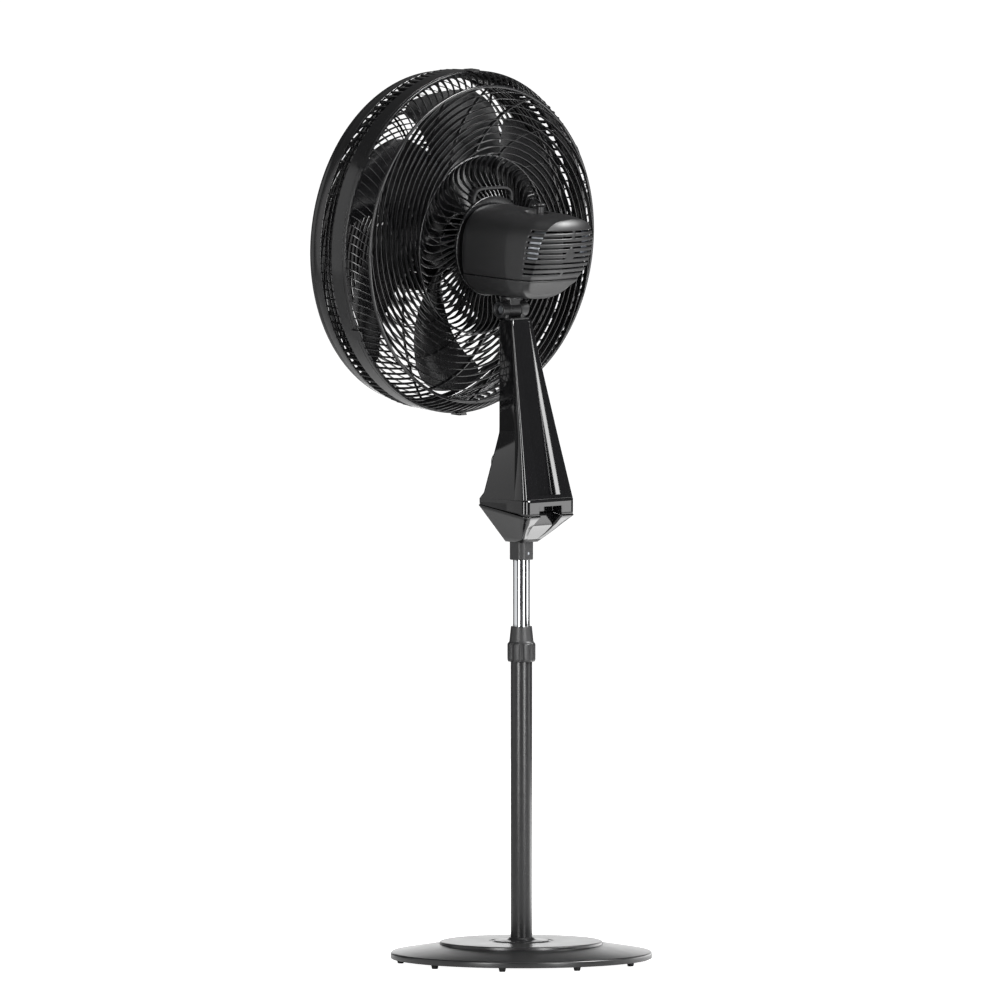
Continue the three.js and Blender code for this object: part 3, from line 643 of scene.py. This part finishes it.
ear_radius, ear_in, ear_out = 12 * MM, 12.2 * MM, 28 * MM
fork_foot, ear_well = neck_top + 0.3 * MM, 9 * MM
leg_in, leg_out, leg_half, leg_head = 13 * MM, 20 * MM, 9 * MM, tilt_centre[2] - 6 * MM
leg_front, leg_rear = tilt_centre[1] - leg_half, tilt_centre[1] + leg_half
fork = []
for side in (-1, 1):
    barrel = ear(ear_in, ear_out - 0.2 * MM, ear_radius, ear_well) * [side, 1, 1]
    x_low, x_high = sorted((side * leg_in, side * leg_out))
    leg = block((x_low, leg_front, fork_foot), (x_high, leg_rear, leg_head), 2 * MM)
    fork += [(barrel, True, True), (leg, False, True)]
seat = block((-20 * MM, -30 * MM, fork_foot), (20 * MM, -2 * MM, fork_foot + 2.5 * MM), 3 * MM)
fork.append((seat, False, True))
put("tilt_fork", fork, moulded_abs, "mast", ["tilt_fork"])
# The bolt's head and its nut lie deep in the two ears.
bolt_profile = [(0, -21.5), (6.4, -21.5), (6.4, -18.7), (3.9, -18.7), (3.9, 22.5), (0, 22.5)]
bolt_bends = np.array([0, 1, 0.3, 0.2, 0.5, 0]) * MM
bolt = across(turned(rounded(np.array(bolt_profile) * MM, bolt_bends), 60))
put_closed("tilt_bolt", bolt, zinc_plate, "mast")
nut_profile = np.array([(4.05, 18.7), (6.9, 18.7), (6.9, 21.8), (4.05, 21.8)]) * MM
nut = across(turned(rounded(nut_profile, 0.4 * MM), 6))
put_closed("tilt_nut", nut, zinc_plate, "mast")

nod = math.radians(3)
tongue_grid = ear(-11.5 * MM, 11.5 * MM, 11.5 * MM, 0.2 * MM)
stem_grid = block((-11 * MM, -9 * MM, 4 * MM), (11 * MM, 9 * MM, 17 * MM), 2 * MM)
post_profile = np.array([(0, 15), (17, 15), (17, 19.5), (8, 20), (8, 40), (0, 40)]) * MM
post_grid = turned(rounded(post_profile, np.array([0, 1, 1, 2, 0.8, 0]) * MM), 72)


def nodded(grid):
    """Points above the tilt bolt, leaned back with the head at rest."""
    x, y, z = np.moveaxis(grid, -1, 0)
    lean_y = y * math.cos(nod) + z * math.sin(nod)
    lean_z = z * math.cos(nod) - y * math.sin(nod)
    return np.stack([x, lean_y, lean_z], axis=-1) + tilt_centre


put(
    "pivot_neck",
    [(tongue_grid, True, True), (nodded(stem_grid), False, True), (nodded(post_grid), True, True)],
    moulded_abs,
    "neck",
    ["pivot_neck"],
)
paint_node("pivot_arm", zinc_plate)

# ---- motor housing ----
# Two moulded shells of fine matt ABS meet at a level seam and cover the motor. The side walls run
# back to a crisp crease, behind which the rear face bulges. Nine slots on each side of a centre
# rib let the motor's warmth out.
spin, swing = joints["fan_spin"], joints["oscillation"]
shaft_origin, rearwards = np.array(spin["pos_m"]), -np.array(spin["axis"])
upwards = np.array(swing["axis"])


def on_head(grid):
    """Points given across, along the shaft rearwards, and up from it, set in the frame."""
    x, y, z = np.moveaxis(np.asarray(grid, float), -1, 0)[..., None]
    return shaft_origin + x * [1, 0, 0] + y * rearwards + z * upwards


# Matt black ABS: the tool is spark eroded to a fine even grain, drawn here at 0.7 mm.
matt_abs = finish_of("fine grained matt ABS", "#121213", "#0f0f10", 0.44, 0.03, 0.7, 0.02)
crease_half, crease_top, crease_foot = 58 * MM, 57 * MM, -62 * MM
seam_z, slot_pitch, slot_height, slot_count = -39 * MM, 8.3 * MM, 3.4 * MM, 9
slot_first, squareness = 38 * MM, 2.7
knob_axis = np.array([8, 62]) * MM
stations = np.array([-38, -30, 0, 12, *range(18, 92, 3), 96, 102, 106, 108]) * MM
known = np.array([-38, 50, 86, 108]) * MM
station_half = np.interp(stations, known, np.array([73, 69, 63.5, 58]) * MM)
station_top = np.interp(stations, known, np.array([65, 62, 61, 57]) * MM)
station_foot = np.interp(stations, known, np.array([-71, -70, -69, -62]) * MM)
crease_lean, crease_sag = 0.22, 7.5
station_lean = np.interp(stations, known, [0, 0, 0.1, crease_lean])
station_sag = np.interp(stations, known, [0, 0, 4.0, crease_sag])
turn_over, swell_top, swell_foot, swell_depth = 45 * MM, 58 * MM, 62 * MM, 13.5 * MM
dish_half, dish_length, dish_depth, dish_ahead = 13 * MM, 21 * MM, 9 * MM, 7 * MM
boss_half, boss_height, centre_rib_half = 11 * MM, 1 * MM, 1.4 * MM


def slot_edges():
    """Heights of the slots' lower and upper edges."""
    centres = slot_first - slot_pitch * np.arange(slot_count)
    return np.concatenate([centres - slot_height / 2, centres + slot_height / 2])


def housing_levels(low, high):
    """Heights of the rows: the slots' edges, even steps between them, and closer steps where
    the wall turns over at the top and the foot."""
    turn = np.linspace(0, math.pi / 2, 56)
    top = crease_top * np.sin(turn) ** (2 / squareness)
    foot = crease_foot * np.sin(turn) ** (2 / squareness)
    even = np.arange(-42, 43, 4) * MM
    levels = np.concatenate([top[top > 41 * MM], foot[foot < -42 * MM], even, slot_edges()])
    levels = np.unique(np.round(np.concatenate([levels, [low, high]]), 6))
    return levels[(levels >= low) & (levels <= high)]


def rounded_half(z, half, top, foot):
    """Half the width at a height: the superellipse (x / half)^n + (z / end)^n = 1."""
    share = np.abs(z) / np.where(z > 0, top, -foot)
    return half * np.clip(1 - share**squareness, 0, 1) ** (1 / squareness)


def housing_wall(levels, side):
    """One side wall. Each row keeps its height but near the top and foot, where it spreads to
    the deeper section at the front. Lean and sag set how far back the wall reaches there. Round
    the knob the top is pressed in to an oval dish for the finger."""
    over = np.clip((levels - turn_over) / (crease_top - turn_over), 0, 1)[:, None]
    under = np.clip((-levels - turn_over) / (-crease_foot - turn_over), 0, 1)[:, None]
    z = levels[:, None] + over * (station_top - crease_top) + under * (station_foot - crease_foot)
    x = rounded_half(z, station_half, station_top, station_foot)
    y = stations + station_lean * z - station_sag * np.where(z < 0, z, 0) ** 2
    aside = side * x - knob_axis[0]
    dish = 1 - (aside / dish_half) ** 2 - ((y - knob_axis[1] + dish_ahead) / dish_length) ** 2
    z = z - dish_depth * np.clip(dish, 0, 1) ** 0.35 * (z > 40 * MM)
    return np.stack([side * x, y, z], axis=-1)


def crease_at(z):
    """How far back the crease lies at a height."""
    return stations[-1] + crease_lean * z - crease_sag * np.where(z < 0, z, 0) ** 2


def rear_face(levels, columns=41):
    """The bulged rear face, crease to crease: it stands out by a swell that falls off towards
    the crease as one minus the share of the half width to the power 2.2."""
    share = np.linspace(-1, 1, columns)[None, ::-1]
    z = levels[:, None]
    half = rounded_half(z, crease_half, crease_top, crease_foot)
    x = share * half
    crease_y = crease_at(z)
    swell = np.where(z > 0, 1 - (z / swell_top) ** 5, 1 - (np.abs(z) / swell_foot) ** 1.3)
    y = crease_y + swell_depth * np.clip(swell, 0, 1) * (1 - np.abs(share) ** 2.2)
    return np.stack([x, y, np.broadcast_to(z, x.shape)], axis=-1)


def slotted(levels, x, y):
    """Which cells stay: all but those between a slot's edges, clear of the centre rib and of
    the boss on it, and less than a slot's end past the crease."""
    middle = (levels[1:] + levels[:-1]) / 2
    order = (slot_first + slot_height / 2 - middle) / slot_pitch
    in_slot = (order % 1 < slot_height / slot_pitch) & (order > 0) & (order < slot_count)
    boss = np.clip(boss_half - np.abs(middle - boss_height) * 0.8, centre_rib_half, None)
    return ~(in_slot[:, None] & (np.abs(x) > boss[:, None]) & y)


def housing_skin(low, high):
    """Right wall, rear face and left wall of one shell, as patches that share their edges."""
    levels = housing_levels(low, high)
    wall, face = housing_wall(levels, 1), rear_face(levels)
    mirrored = housing_wall(levels, -1)
    cell_x = (face[1:, 1:, 0] + face[:-1, :-1, 0]) / 2
    face_keep = slotted(levels, cell_x, np.ones_like(cell_x, bool))
    wall_x = (wall[1:, 1:, 0] + wall[:-1, :-1, 0]) / 2
    wall_y = (stations[1:] + stations[:-1]) / 2 > 88 * MM
    wall_keep = slotted(levels, wall_x, wall_y[None] & (wall_x > 30 * MM))
    return [
        (on_head(wall), False, False, wall_keep),
        (on_head(face), False, False, face_keep),
        (on_head(mirrored), False, False, wall_keep),
    ]


for name, low, high in [
    ("housing_top", seam_z + 0.2 * MM, crease_top),
    ("housing_bottom", crease_foot, seam_z - 0.2 * MM),
]:
    shell = put(name, housing_skin(low, high), matt_abs, "head", [name])
    thickened(shell, 2.2 * MM)

# ---- motor and oscillation drive ----
# A shaded pole motor: steel laminations and copper windings between two plates, a gearbox behind
# it, and the crank and link that swing the head. A bright baffle of galvanised sheet stands
# inside the housing's rear and keeps fingers and dust off the windings.
enamelled_copper = finish_of(
    "enamelled copper winding", "#9c5a34", "#6e3a1f", 0.35, 0.1, 0.5, 0.05, {"Metallic": 0.9}
)
for name, material, slot in [
    ("motor_frame", zinc_plate, "zinc_steel"),
    ("motor_rear_plate", zinc_plate, "zinc_steel"),
    ("bearing_front", zinc_plate, "zinc_steel"),
    ("bearing_rear", zinc_plate, "zinc_steel"),
    ("shaft", zinc_plate, "zinc_steel"),
    ("rotor", zinc_plate, "zinc_steel"),
    ("oscillation_crank", zinc_plate, "zinc_steel"),
    ("oscillation_link", zinc_plate, "zinc_steel"),
    ("stator", enamelled_copper, "winding"),
    ("gearbox", moulded_abs, "housing_plastic"),
]:
    paint_node(name, material)

# The baffle stands close inside the crease on either side, behind the slots' ends.
baffle_z = np.linspace(-6, 43, 26)[:, None] * MM
baffle_y = np.array([85, 92, 100, 105]) * MM
baffle_wall = np.interp(baffle_y, stations, station_half)
baffle_gap, baffle_sheet = 4.6 * MM, 0.5 * MM
baffle_half = rounded_half(baffle_z, baffle_wall, crease_top, crease_foot) - baffle_gap
for side, where in ((1, "right"), (-1, "left")):
    sheet = np.stack(
        np.broadcast_arrays(side * baffle_half, baffle_y + crease_lean * baffle_z, baffle_z),
        axis=-1,
    )
    baffle = put(
        f"baffle_{where}", [(on_head(sheet), False, False)], zinc_plate, "head"
    )
    thickened(baffle, baffle_sheet)

# The pull and push knob for the oscillation: a moulded stem with a flanged top.
stem_profile = np.array(
    [(0, 20), (5.4, 20), (5.4, 44), (6.1, 45), (5.6, 71), (7.4, 73), (7.4, 75), (6.2, 76), (0, 76)]
)
stem_bends = np.array([0, 0.5, 0.5, 0.5, 1, 0.6, 0.8, 1, 0]) * MM
stem = turned(rounded(stem_profile * MM, stem_bends, 5), 72)
stem_place = stem + [knob_axis[0], knob_axis[1], 0]
put_closed(
    "oscillation_knob", on_head(stem_place), moulded_abs, "oscillation_knob"
)


# The carry handle: one moulded bow over the front of the housing, standing on the guard's hub.
def swept(paths, width, depth, toward, sides=8, bulge=1.0):
    """A bar carried along each path of a stack. Its section is the path point plus the cosine of
    the turn times half the width sideways plus the sine times half the depth towards a given
    direction. Sideways is square to the path and to that direction. Both ends close on the
    path's end points. A bulge under 1 squares the section off."""
    along = np.gradient(paths, axis=-2)
    along /= np.linalg.norm(along, axis=-1, keepdims=True)
    sideways = np.cross(along, np.broadcast_to(toward, along.shape))
    sideways /= np.linalg.norm(sideways, axis=-1, keepdims=True)
    up = np.cross(sideways, along)
    turn = np.linspace(0, 2 * math.pi, sides, endpoint=False) + math.pi / sides
    c, s = np.cos(turn), np.sin(turn)
    c, s = np.sign(c) * np.abs(c) ** bulge, np.sign(s) * np.abs(s) ** bulge
    ends = np.ones(paths.shape[-2] + 2)
    ends[[0, -1]] = 0
    pick = np.clip(np.arange(-1, paths.shape[-2] + 1), 0, paths.shape[-2] - 1)
    reach = ends[:, None, None] / 2
    side, rise = sideways[..., pick, None, :], up[..., pick, None, :]
    ring = reach * (width * c[:, None] * side + depth * s[:, None] * rise)
    return paths[..., pick, None, :] + ring


# Its path is half an ellipse squared off by powers of the cosine and the sine of the turn.
handle_low, handle_high = 68 * MM, 88.5 * MM
handle_half, handle_y, handle_wall, handle_depth = 40.2 * MM, -53.5 * MM, 4.6 * MM, 15 * MM
bow_turn = np.linspace(0, math.pi, 41)
bow_x = handle_half * np.sign(np.cos(bow_turn)) * np.abs(np.cos(bow_turn)) ** 0.42
bow_z = handle_low + (handle_high - handle_low) * np.sin(bow_turn) ** 0.62
bow_path = np.stack([bow_x, np.full_like(bow_x, handle_y), bow_z], axis=-1)
bow = swept(bow_path, handle_wall, handle_depth, (0, 1, 0), 16, 0.45)
put(
    "carry_handle",
    [(on_head(bow), False, True)],
    matt_abs,
    "head",
    ["carry_handle"],
)

# ---- rear grille ----
# One moulding of black polypropylene. 120 short ribs hook from the rim over the shoulder. Sixteen
# long arms wind inwards on the flat of the grille, and sixty curved ribs run on from there, down
# a cone, to the hub. Sixteen deeper spokes lie under the arms, and every fourth is a thick one.
glossy_pp = finish_of("half gloss moulded PP", "#121213", "#0e0e0f", 0.19, 0.04, 1.4, 0.006)
shoulder_radius, cone_radius, hub_radius = 242 * MM, 137 * MM, 77 * MM
cone_y, hub_y = -67 * MM, -46 * MM
rib_count, cone_count, spoke_count = 120, 60, 16
hook_sweep, arm_sweep = math.radians(4.6), math.radians(225)
cone_bow, cone_twist = math.radians(10.5), math.radians(2)
spoke_sweep, spoke_first = math.radians(47), math.radians(-2.5)
rib_width, hook_depth, arm_depth = 1.8 * MM, 5 * MM, 8 * MM
spoke_width, spoke_depth, thick_width, thick_depth = 1.5 * MM, 6 * MM, 3.2 * MM, 8 * MM
arm_lift, spoke_lift = 2.2 * MM, 6.5 * MM


def round_the_shaft(radius, turn, y):
    """Points at a radius, a turn from the top towards +X, and a distance along the shaft."""
    radius, turn, y = np.broadcast_arrays(radius, turn, y)
    return np.stack([radius * np.sin(turn), y, radius * np.cos(turn)], axis=-1)


def hoop(profile, bend, sides=240, steps=5):
    """A ring about the shaft from a closed profile of (radius, distance along the shaft)."""
    outline = rounded(np.array(profile) * MM, bend * MM, steps)
    turn = np.linspace(0, 2 * math.pi, sides, endpoint=False)
    return round_the_shaft(outline[:, :1], turn, outline[:, 1:])


def all_round(count, first=0.0):
    """Evenly spaced turns, as a column to set against the points of one path."""
    return first + np.arange(count)[:, None] * 2 * math.pi / count


def between(t, first, pull, last):
    """A quadratic curve from the first value to the last, drawn towards the pull: the square of
    one minus t, twice t times one minus t, and the square of t, times the three."""
    return ((1 - t) ** 2 * first + 2 * t * (1 - t) * pull + t**2 * last) * MM


t = np.linspace(0, 1, 10)
hook_r, hook_y = between(t, 260.4, 255, 241), between(t, -104, -81, -70)
hook_turn = all_round(rib_count) + hook_sweep * t**1.3
hooks = round_the_shaft(hook_r, hook_turn, hook_y)
out_and_back = round_the_shaft(1, hook_turn, 1)

# The arms lie flat, and turn evenly with the way gone inwards.
u = np.linspace(0, 1, 110)
arm_r = cone_radius + (shoulder_radius - cone_radius) * (1 - u)
arms = round_the_shaft(arm_r, all_round(spoke_count) + arm_sweep * u, cone_y - arm_lift)

# The cone's ribs bow aside by half a sine wave that weakens inwards, over an even twist.
v = np.linspace(0, 1, 20)
cone_r = cone_radius + (hub_radius - 2 * MM - cone_radius) * v
cone_turn = cone_bow * np.sin(math.pi * v**0.8) * (1 - 0.35 * v) + cone_twist * v
cone_rib_y = cone_y + (hub_y - 3 * MM - cone_y) * v**1.3
cone_ribs = round_the_shaft(cone_r, all_round(cone_count) + cone_turn, cone_rib_y)

# The spokes turn fast at first, then less, and run down the cone under its ribs.
w = np.linspace(0, 1, 24)
spoke_r = shoulder_radius + (hub_radius - shoulder_radius) * w
spoke_turn = spoke_sweep * (1 - (1 - w) ** 1.25)
under = np.clip((cone_radius - spoke_r) / (cone_radius - hub_radius), 0, 1)
spoke_y = cone_y - spoke_lift + (hub_y - 2 * MM - cone_y) * under
spokes = round_the_shaft(spoke_r, all_round(spoke_count, spoke_first) + spoke_turn, spoke_y)
thick = np.arange(spoke_count) % 4 == 3

straight_back = (0, 1, 0)
rear_parts = [
    hoop([(258.5, -106.7), (263.5, -106.7), (263.5, -101.5), (258.5, -101.5)], 0.8),
    hoop([(240, -71), (244.6, -71), (244.6, -66.6), (240, -66.6)], 1.4),
    hoop([(135.5, -71.5), (138.5, -71.5), (138.5, -65.5), (135.5, -65.5)], 1),
    hoop([(52, -52), (77, -52), (77, -46), (52, -46)], 1.5),
]
put(
    "rear_grille",
    [(on_head(part), True, True) for part in rear_parts]
    + [
        (on_head(swept(hooks, rib_width, hook_depth, out_and_back)), False, True),
        (on_head(swept(arms, rib_width, arm_depth, straight_back)), False, True),
        (on_head(swept(cone_ribs, rib_width, arm_depth, straight_back)), False, True),
    ],
    glossy_pp,
    "head",
    ["rear_grille"],
    60,
)
put(
    "rear_spokes",
    [
        (on_head(swept(spokes[~thick], spoke_width, spoke_depth, straight_back)), False, True),
        (on_head(swept(spokes[thick], thick_width, thick_depth, straight_back)), False, True),
    ],
    glossy_pp,
    "head",
    (),
    60,
)

# ---- front grille and what joins the two ----
# The front half of the cage is deeper: a plain band at the joint, a wall of 120 straight ribs over
# three deep inner rings, and a rolled edge. Its face has 26 winding arms and 12 swept spokes on
# rings round the cap. Six clips hold the halves together.
band_profile = [(259.3, -130), (263.3, -130), (263.1, -109), (263.5, -108.6)]
band_profile += [(263.5, -107), (259.3, -107)]
front_parts = [
    hoop(band_profile, 0.4),
    hoop([(254.4, -176), (257, -175), (260.9, -157), (257.6, -156.4)], 1.2),
    hoop([(248.5, -187), (253.5, -187), (256, -182), (256.8, -174), (252, -174), (248, -180)], 2.5),
    hoop([(199, -196), (202.5, -196), (202.5, -191.5), (199, -191.5)], 1.2),
    hoop([(139, -200), (142.5, -200), (142.5, -195.5), (139, -195.5)], 1.2),
    hoop([(56.4, -202), (84, -202), (84, -197), (56.4, -197)], 1.2),
    *(
        hoop([(248.5, y - 0.8), (256.5, y - 0.8), (256.5, y + 0.8), (248.5, y + 0.8)], 0.5)
        for y in (-137, -144.5, -152)
    ),
]
wall_t = np.linspace(0, 1, 3)
wall_r, wall_y = (259.5 - 1.8 * wall_t) * MM, (-128 - 30 * wall_t) * MM
wall_ribs = round_the_shaft(wall_r, all_round(rib_count), wall_y)
outwards = round_the_shaft(1, all_round(rib_count), 0)


def swept_face(count, sweep, outer=252 * MM, inner=82 * MM):
    """Face ribs from the rolled edge inwards: the turn grows with the way gone, and the face
    swells forwards by 14 mm times one minus the square of the share of the radius."""
    way = np.linspace(0, 1, 110)
    radius = outer + (inner - outer) * way
    y = (-183 - 14 * (1 - (radius / outer) ** 2)) * MM
    return round_the_shaft(radius, all_round(count) + math.radians(sweep) * way, y)


face_arms, face_spokes = swept_face(26, -265), swept_face(12, -24)
put(
    "front_grille",
    [(on_head(part), True, True) for part in front_parts]
    + [
        (on_head(swept(wall_ribs, 2 * MM, 7 * MM, outwards, 6)), False, True),
        (on_head(swept(face_arms, rib_width, arm_depth, straight_back, 6)), False, True),
        (on_head(swept(face_spokes, 2.6 * MM, 6 * MM, straight_back, 6)), False, True),
    ],
    glossy_pp,
    "head",
    ["front_grille"],
    60,
)
cap_profile = [(0, -205), (40, -204), (56, -201), (56, -197), (0, -197)]
cap_outline = rounded(np.array(cap_profile) * MM, np.array([0, 12, 2, 0.5, 0]) * MM)
cap_turn = np.linspace(0, 2 * math.pi, 120, endpoint=False)
cap = round_the_shaft(cap_outline[:, :1], cap_turn, cap_outline[:, 1:])
put_closed("front_cap", on_head(cap), gloss_abs, "head")


def turned_to(grid, turn):
    """A grid made at the top of the guard, carried round the shaft."""
    x, y, z = np.moveaxis(grid, -1, 0)
    c, s = math.cos(turn), math.sin(turn)
    return np.stack([x * c + z * s, y, z * c - x * s], axis=-1)


clip_count = 6
clip_body = block((-8.6 * MM, -112.5 * MM, 263.9 * MM), (8.6 * MM, -94 * MM, 266 * MM), 1.5 * MM)
clip_lip = block((-6 * MM, -94.4 * MM, 262 * MM), (6 * MM, -92.8 * MM, 265.6 * MM), 0.5 * MM)
for number in range(clip_count):
    name, turn = f"guard_clip_{number + 1}", number * 2 * math.pi / clip_count
    grids = [on_head(turned_to(part, turn)) for part in (clip_body, clip_lip)]
    patches = [(grid, False, True) for grid in grids]
    put(name, patches, glossy_pp, "head", [name])

nut_ring = hoop([(40, -54), (51, -54), (51, -44), (40, -44)], 1.2, 160)
put_closed("guard_nut", on_head(nut_ring), moulded_abs, "head")

# ---- impeller ----
# Six broad blades and a hub in one moulding of glossy black polypropylene. Each blade is twisted
# and hollow towards the front, and thins towards its tip. A left-hand nut holds it on the shaft.
glossy_blade = finish_of("glossy moulded PP", "#0e0e0f", "#0b0b0c", 0.2, 0.04, 2.0, 0.003)
blade_count, blade_root, blade_tip = 6, 40 * MM, 232 * MM
blade_first, blade_sweep, blade_chord = (math.radians(angle) for angle in (-19, 26, 54))
blade_y, blade_bow = -137 * MM, 5 * MM


def blade_skin(start, rows=28, columns=15):
    """One closed blade. Along the radius the middle of the chord sweeps on by the sweep times the
    square of the way, and the chord narrows. Across the chord the blade climbs by twice its rise
    and bows by half a sine wave. Both faces lie half the thickness from that sheet."""
    way = np.linspace(0, 1, rows)[:, None]
    chord = np.linspace(0, 1, columns)[None]
    radius = blade_root + (blade_tip - blade_root) * way
    narrow = 1 - 0.35 * np.clip((way - 0.85) / 0.15, 0, 1) ** 3
    width = blade_chord * (1 - 0.2 * way) * narrow
    turn = start + blade_sweep * way**2 + (chord - 0.5) * width
    rise = (22 - 6 * way) * MM * narrow
    y = blade_y - (chord - 0.5) * 2 * rise
    y = y + blade_bow * np.sin(math.pi * chord) - blade_bow / 2
    thick = (3 - 1.4 * way) * MM * (np.sin(math.pi * chord) ** 0.4 + 0.05) / 2
    front = round_the_shaft(radius, turn, y - thick)
    back = round_the_shaft(radius, turn, y + thick)
    return np.concatenate([front, back[:, ::-1]], axis=1)


def capped(grid):
    """A stack of loops with a middle point before the first and after the last."""
    first, last = grid[:1].mean(axis=1, keepdims=True), grid[-1:].mean(axis=1, keepdims=True)
    spread = np.ones((1, grid.shape[1], 1))
    return np.concatenate([first * spread, grid, last * spread])


blade_turns = [blade_first + number * 2 * math.pi / blade_count for number in range(blade_count)]
blades = [capped(blade_skin(turn)) for turn in blade_turns]
hub_profile = [(4.4, -163), (38, -163), (45, -156), (45, -112)]
hub_profile += [(41.5, -112), (40, -158), (4.4, -158)]
hub = hoop(hub_profile, 2.5, 120)
put(
    "impeller",
    [(on_head(hub), True, True)] + [(on_head(blade), False, True) for blade in blades],
    glossy_blade,
    "blades",
    ["impeller"],
)
spinner = hoop([(4.6, -178), (12, -178), (17, -163.3), (4.6, -163.3)], 1.5, 80)
put_closed("blade_nut", on_head(spinner), moulded_abs, "blades")

# ---- studio ----
# A pale floor in a white surround, two tall soft lights either side of the camera, broad weak
# ones to the left, above and far behind the fan, one high up for the vents, and two small ones
# low down. The white of the floor and of the surround is only for the eye: what the fan mirrors
# is a dim room with lights in it.
floor_tone = bpy.data.materials.new("white studio floor")
floor_tone.use_nodes = True
floor_shader = floor_tone.node_tree.nodes["Principled BSDF"]
floor_shader.inputs["Base Color"].default_value = linear("#cfcfcf")
floor_shader.inputs["Roughness"].default_value = 0.9
floor_shader.inputs["Emission Color"].default_value = (1, 1, 1, 1)
floor_seen = floor_tone.node_tree.nodes.new("ShaderNodeLightPath")
floor_tone.node_tree.links.new(
    floor_seen.outputs["Is Camera Ray"], floor_shader.inputs["Emission Strength"]
)
floor_mesh = bpy.data.meshes.new("floor")
floor_half = 60.0
floor_corners = np.array([(-1, -1, 0), (1, -1, 0), (1, 1, 0), (-1, 1, 0)]) * floor_half
floor_mesh.from_pydata(floor_corners, [], [(0, 1, 2, 3)])
floor_mesh.materials.append(floor_tone)
floor = bpy.data.objects.new("floor", floor_mesh)
bpy.context.collection.objects.link(floor)

surround = bpy.data.worlds.new("surround")
surround.use_nodes = True
bpy.context.scene.world = surround
sky = surround.node_tree.nodes["Background"]
sky.inputs["Color"].default_value = (1, 1, 1, 1)
sky_seen = surround.node_tree.nodes.new("ShaderNodeLightPath")
sky_strength = surround.node_tree.nodes.new("ShaderNodeMapRange")
sky_strength.inputs["To Min"].default_value = 0.1
sky_strength.inputs["To Max"].default_value = 1.0
surround.node_tree.links.new(sky_seen.outputs["Is Camera Ray"], sky_strength.inputs["Value"])
surround.node_tree.links.new(sky_strength.outputs["Result"], sky.inputs["Strength"])

aim = np.array([0, 0, 0.75])


def standing(right, up, back, place):
    """The matrix that sets an object's own x, y and z along these directions, at a place."""
    rows = [(*right, 0), (*up, 0), (*back, 0), (*place, 1)]
    return mathutils.Matrix(rows).transposed()


def soft_light(name, azimuth, elevation, distance, width, height, power):
    """A rectangular light on a circle round the fan, facing it. Azimuth 0 is +X."""
    a, e = math.radians(azimuth), math.radians(elevation)
    direction = np.array([math.cos(a) * math.cos(e), math.sin(a) * math.cos(e), math.sin(e)])
    data = bpy.data.lights.new(name, "AREA")
    data.shape, data.size, data.size_y, data.energy = "RECTANGLE", width, height, power
    lamp = bpy.data.objects.new(name, data)
    bpy.context.collection.objects.link(lamp)
    side = np.array([-math.sin(a), math.cos(a), 0])
    rising = np.cross(direction, side)
    lamp.matrix_world = standing(side, rising, direction, aim + direction * distance)
    lamp.visible_camera = False
    return lamp


lamps = [
    soft_light("tall light left", 13, 9, 4.0, 0.9, 2.6, 115),
    soft_light("tall light right", 77, 9, 4.0, 0.9, 2.6, 115),
    soft_light("wide light left", -42, 8, 4.5, 4.6, 5.0, 58),
    soft_light("light on the vents", 122, 36, 3.5, 1.2, 1.2, 260),
    soft_light("low light right", 135, -4, 4.0, 1.4, 0.5, 10),
    soft_light("light under the skirt", 166, -48, 0.92, 0.5, 0.4, 2.5),
    soft_light("backdrop", 224.5, -2, 4.0, 2.6, 1.3, 22),
    soft_light("light above", 45, 82, 3.5, 2.5, 2.5, 40),
]

# A very long lens far away, a little above the fan's middle: the view is almost parallel.
camera_distance, camera_aside, camera_height = 60, -0.0326, 0.7069
camera_data = bpy.data.cameras.new("camera")
camera_data.sensor_width, camera_data.lens = 36, 1411.8
camera_data.clip_end = 1000
camera = bpy.data.objects.new("camera", camera_data)
bpy.context.collection.objects.link(camera)
back = np.array([0.7115, 0.6991, 0.0712])
right = np.array([-0.7009, 0.7133, 0])
up = np.array([-0.0508, -0.0499, 0.9975])
stand = camera_aside * right + camera_height * up + camera_distance * back
camera.matrix_world = standing(right, up, back, stand)
bpy.context.scene.camera = camera
bpy.context.scene.view_settings.view_transform = "Standard"
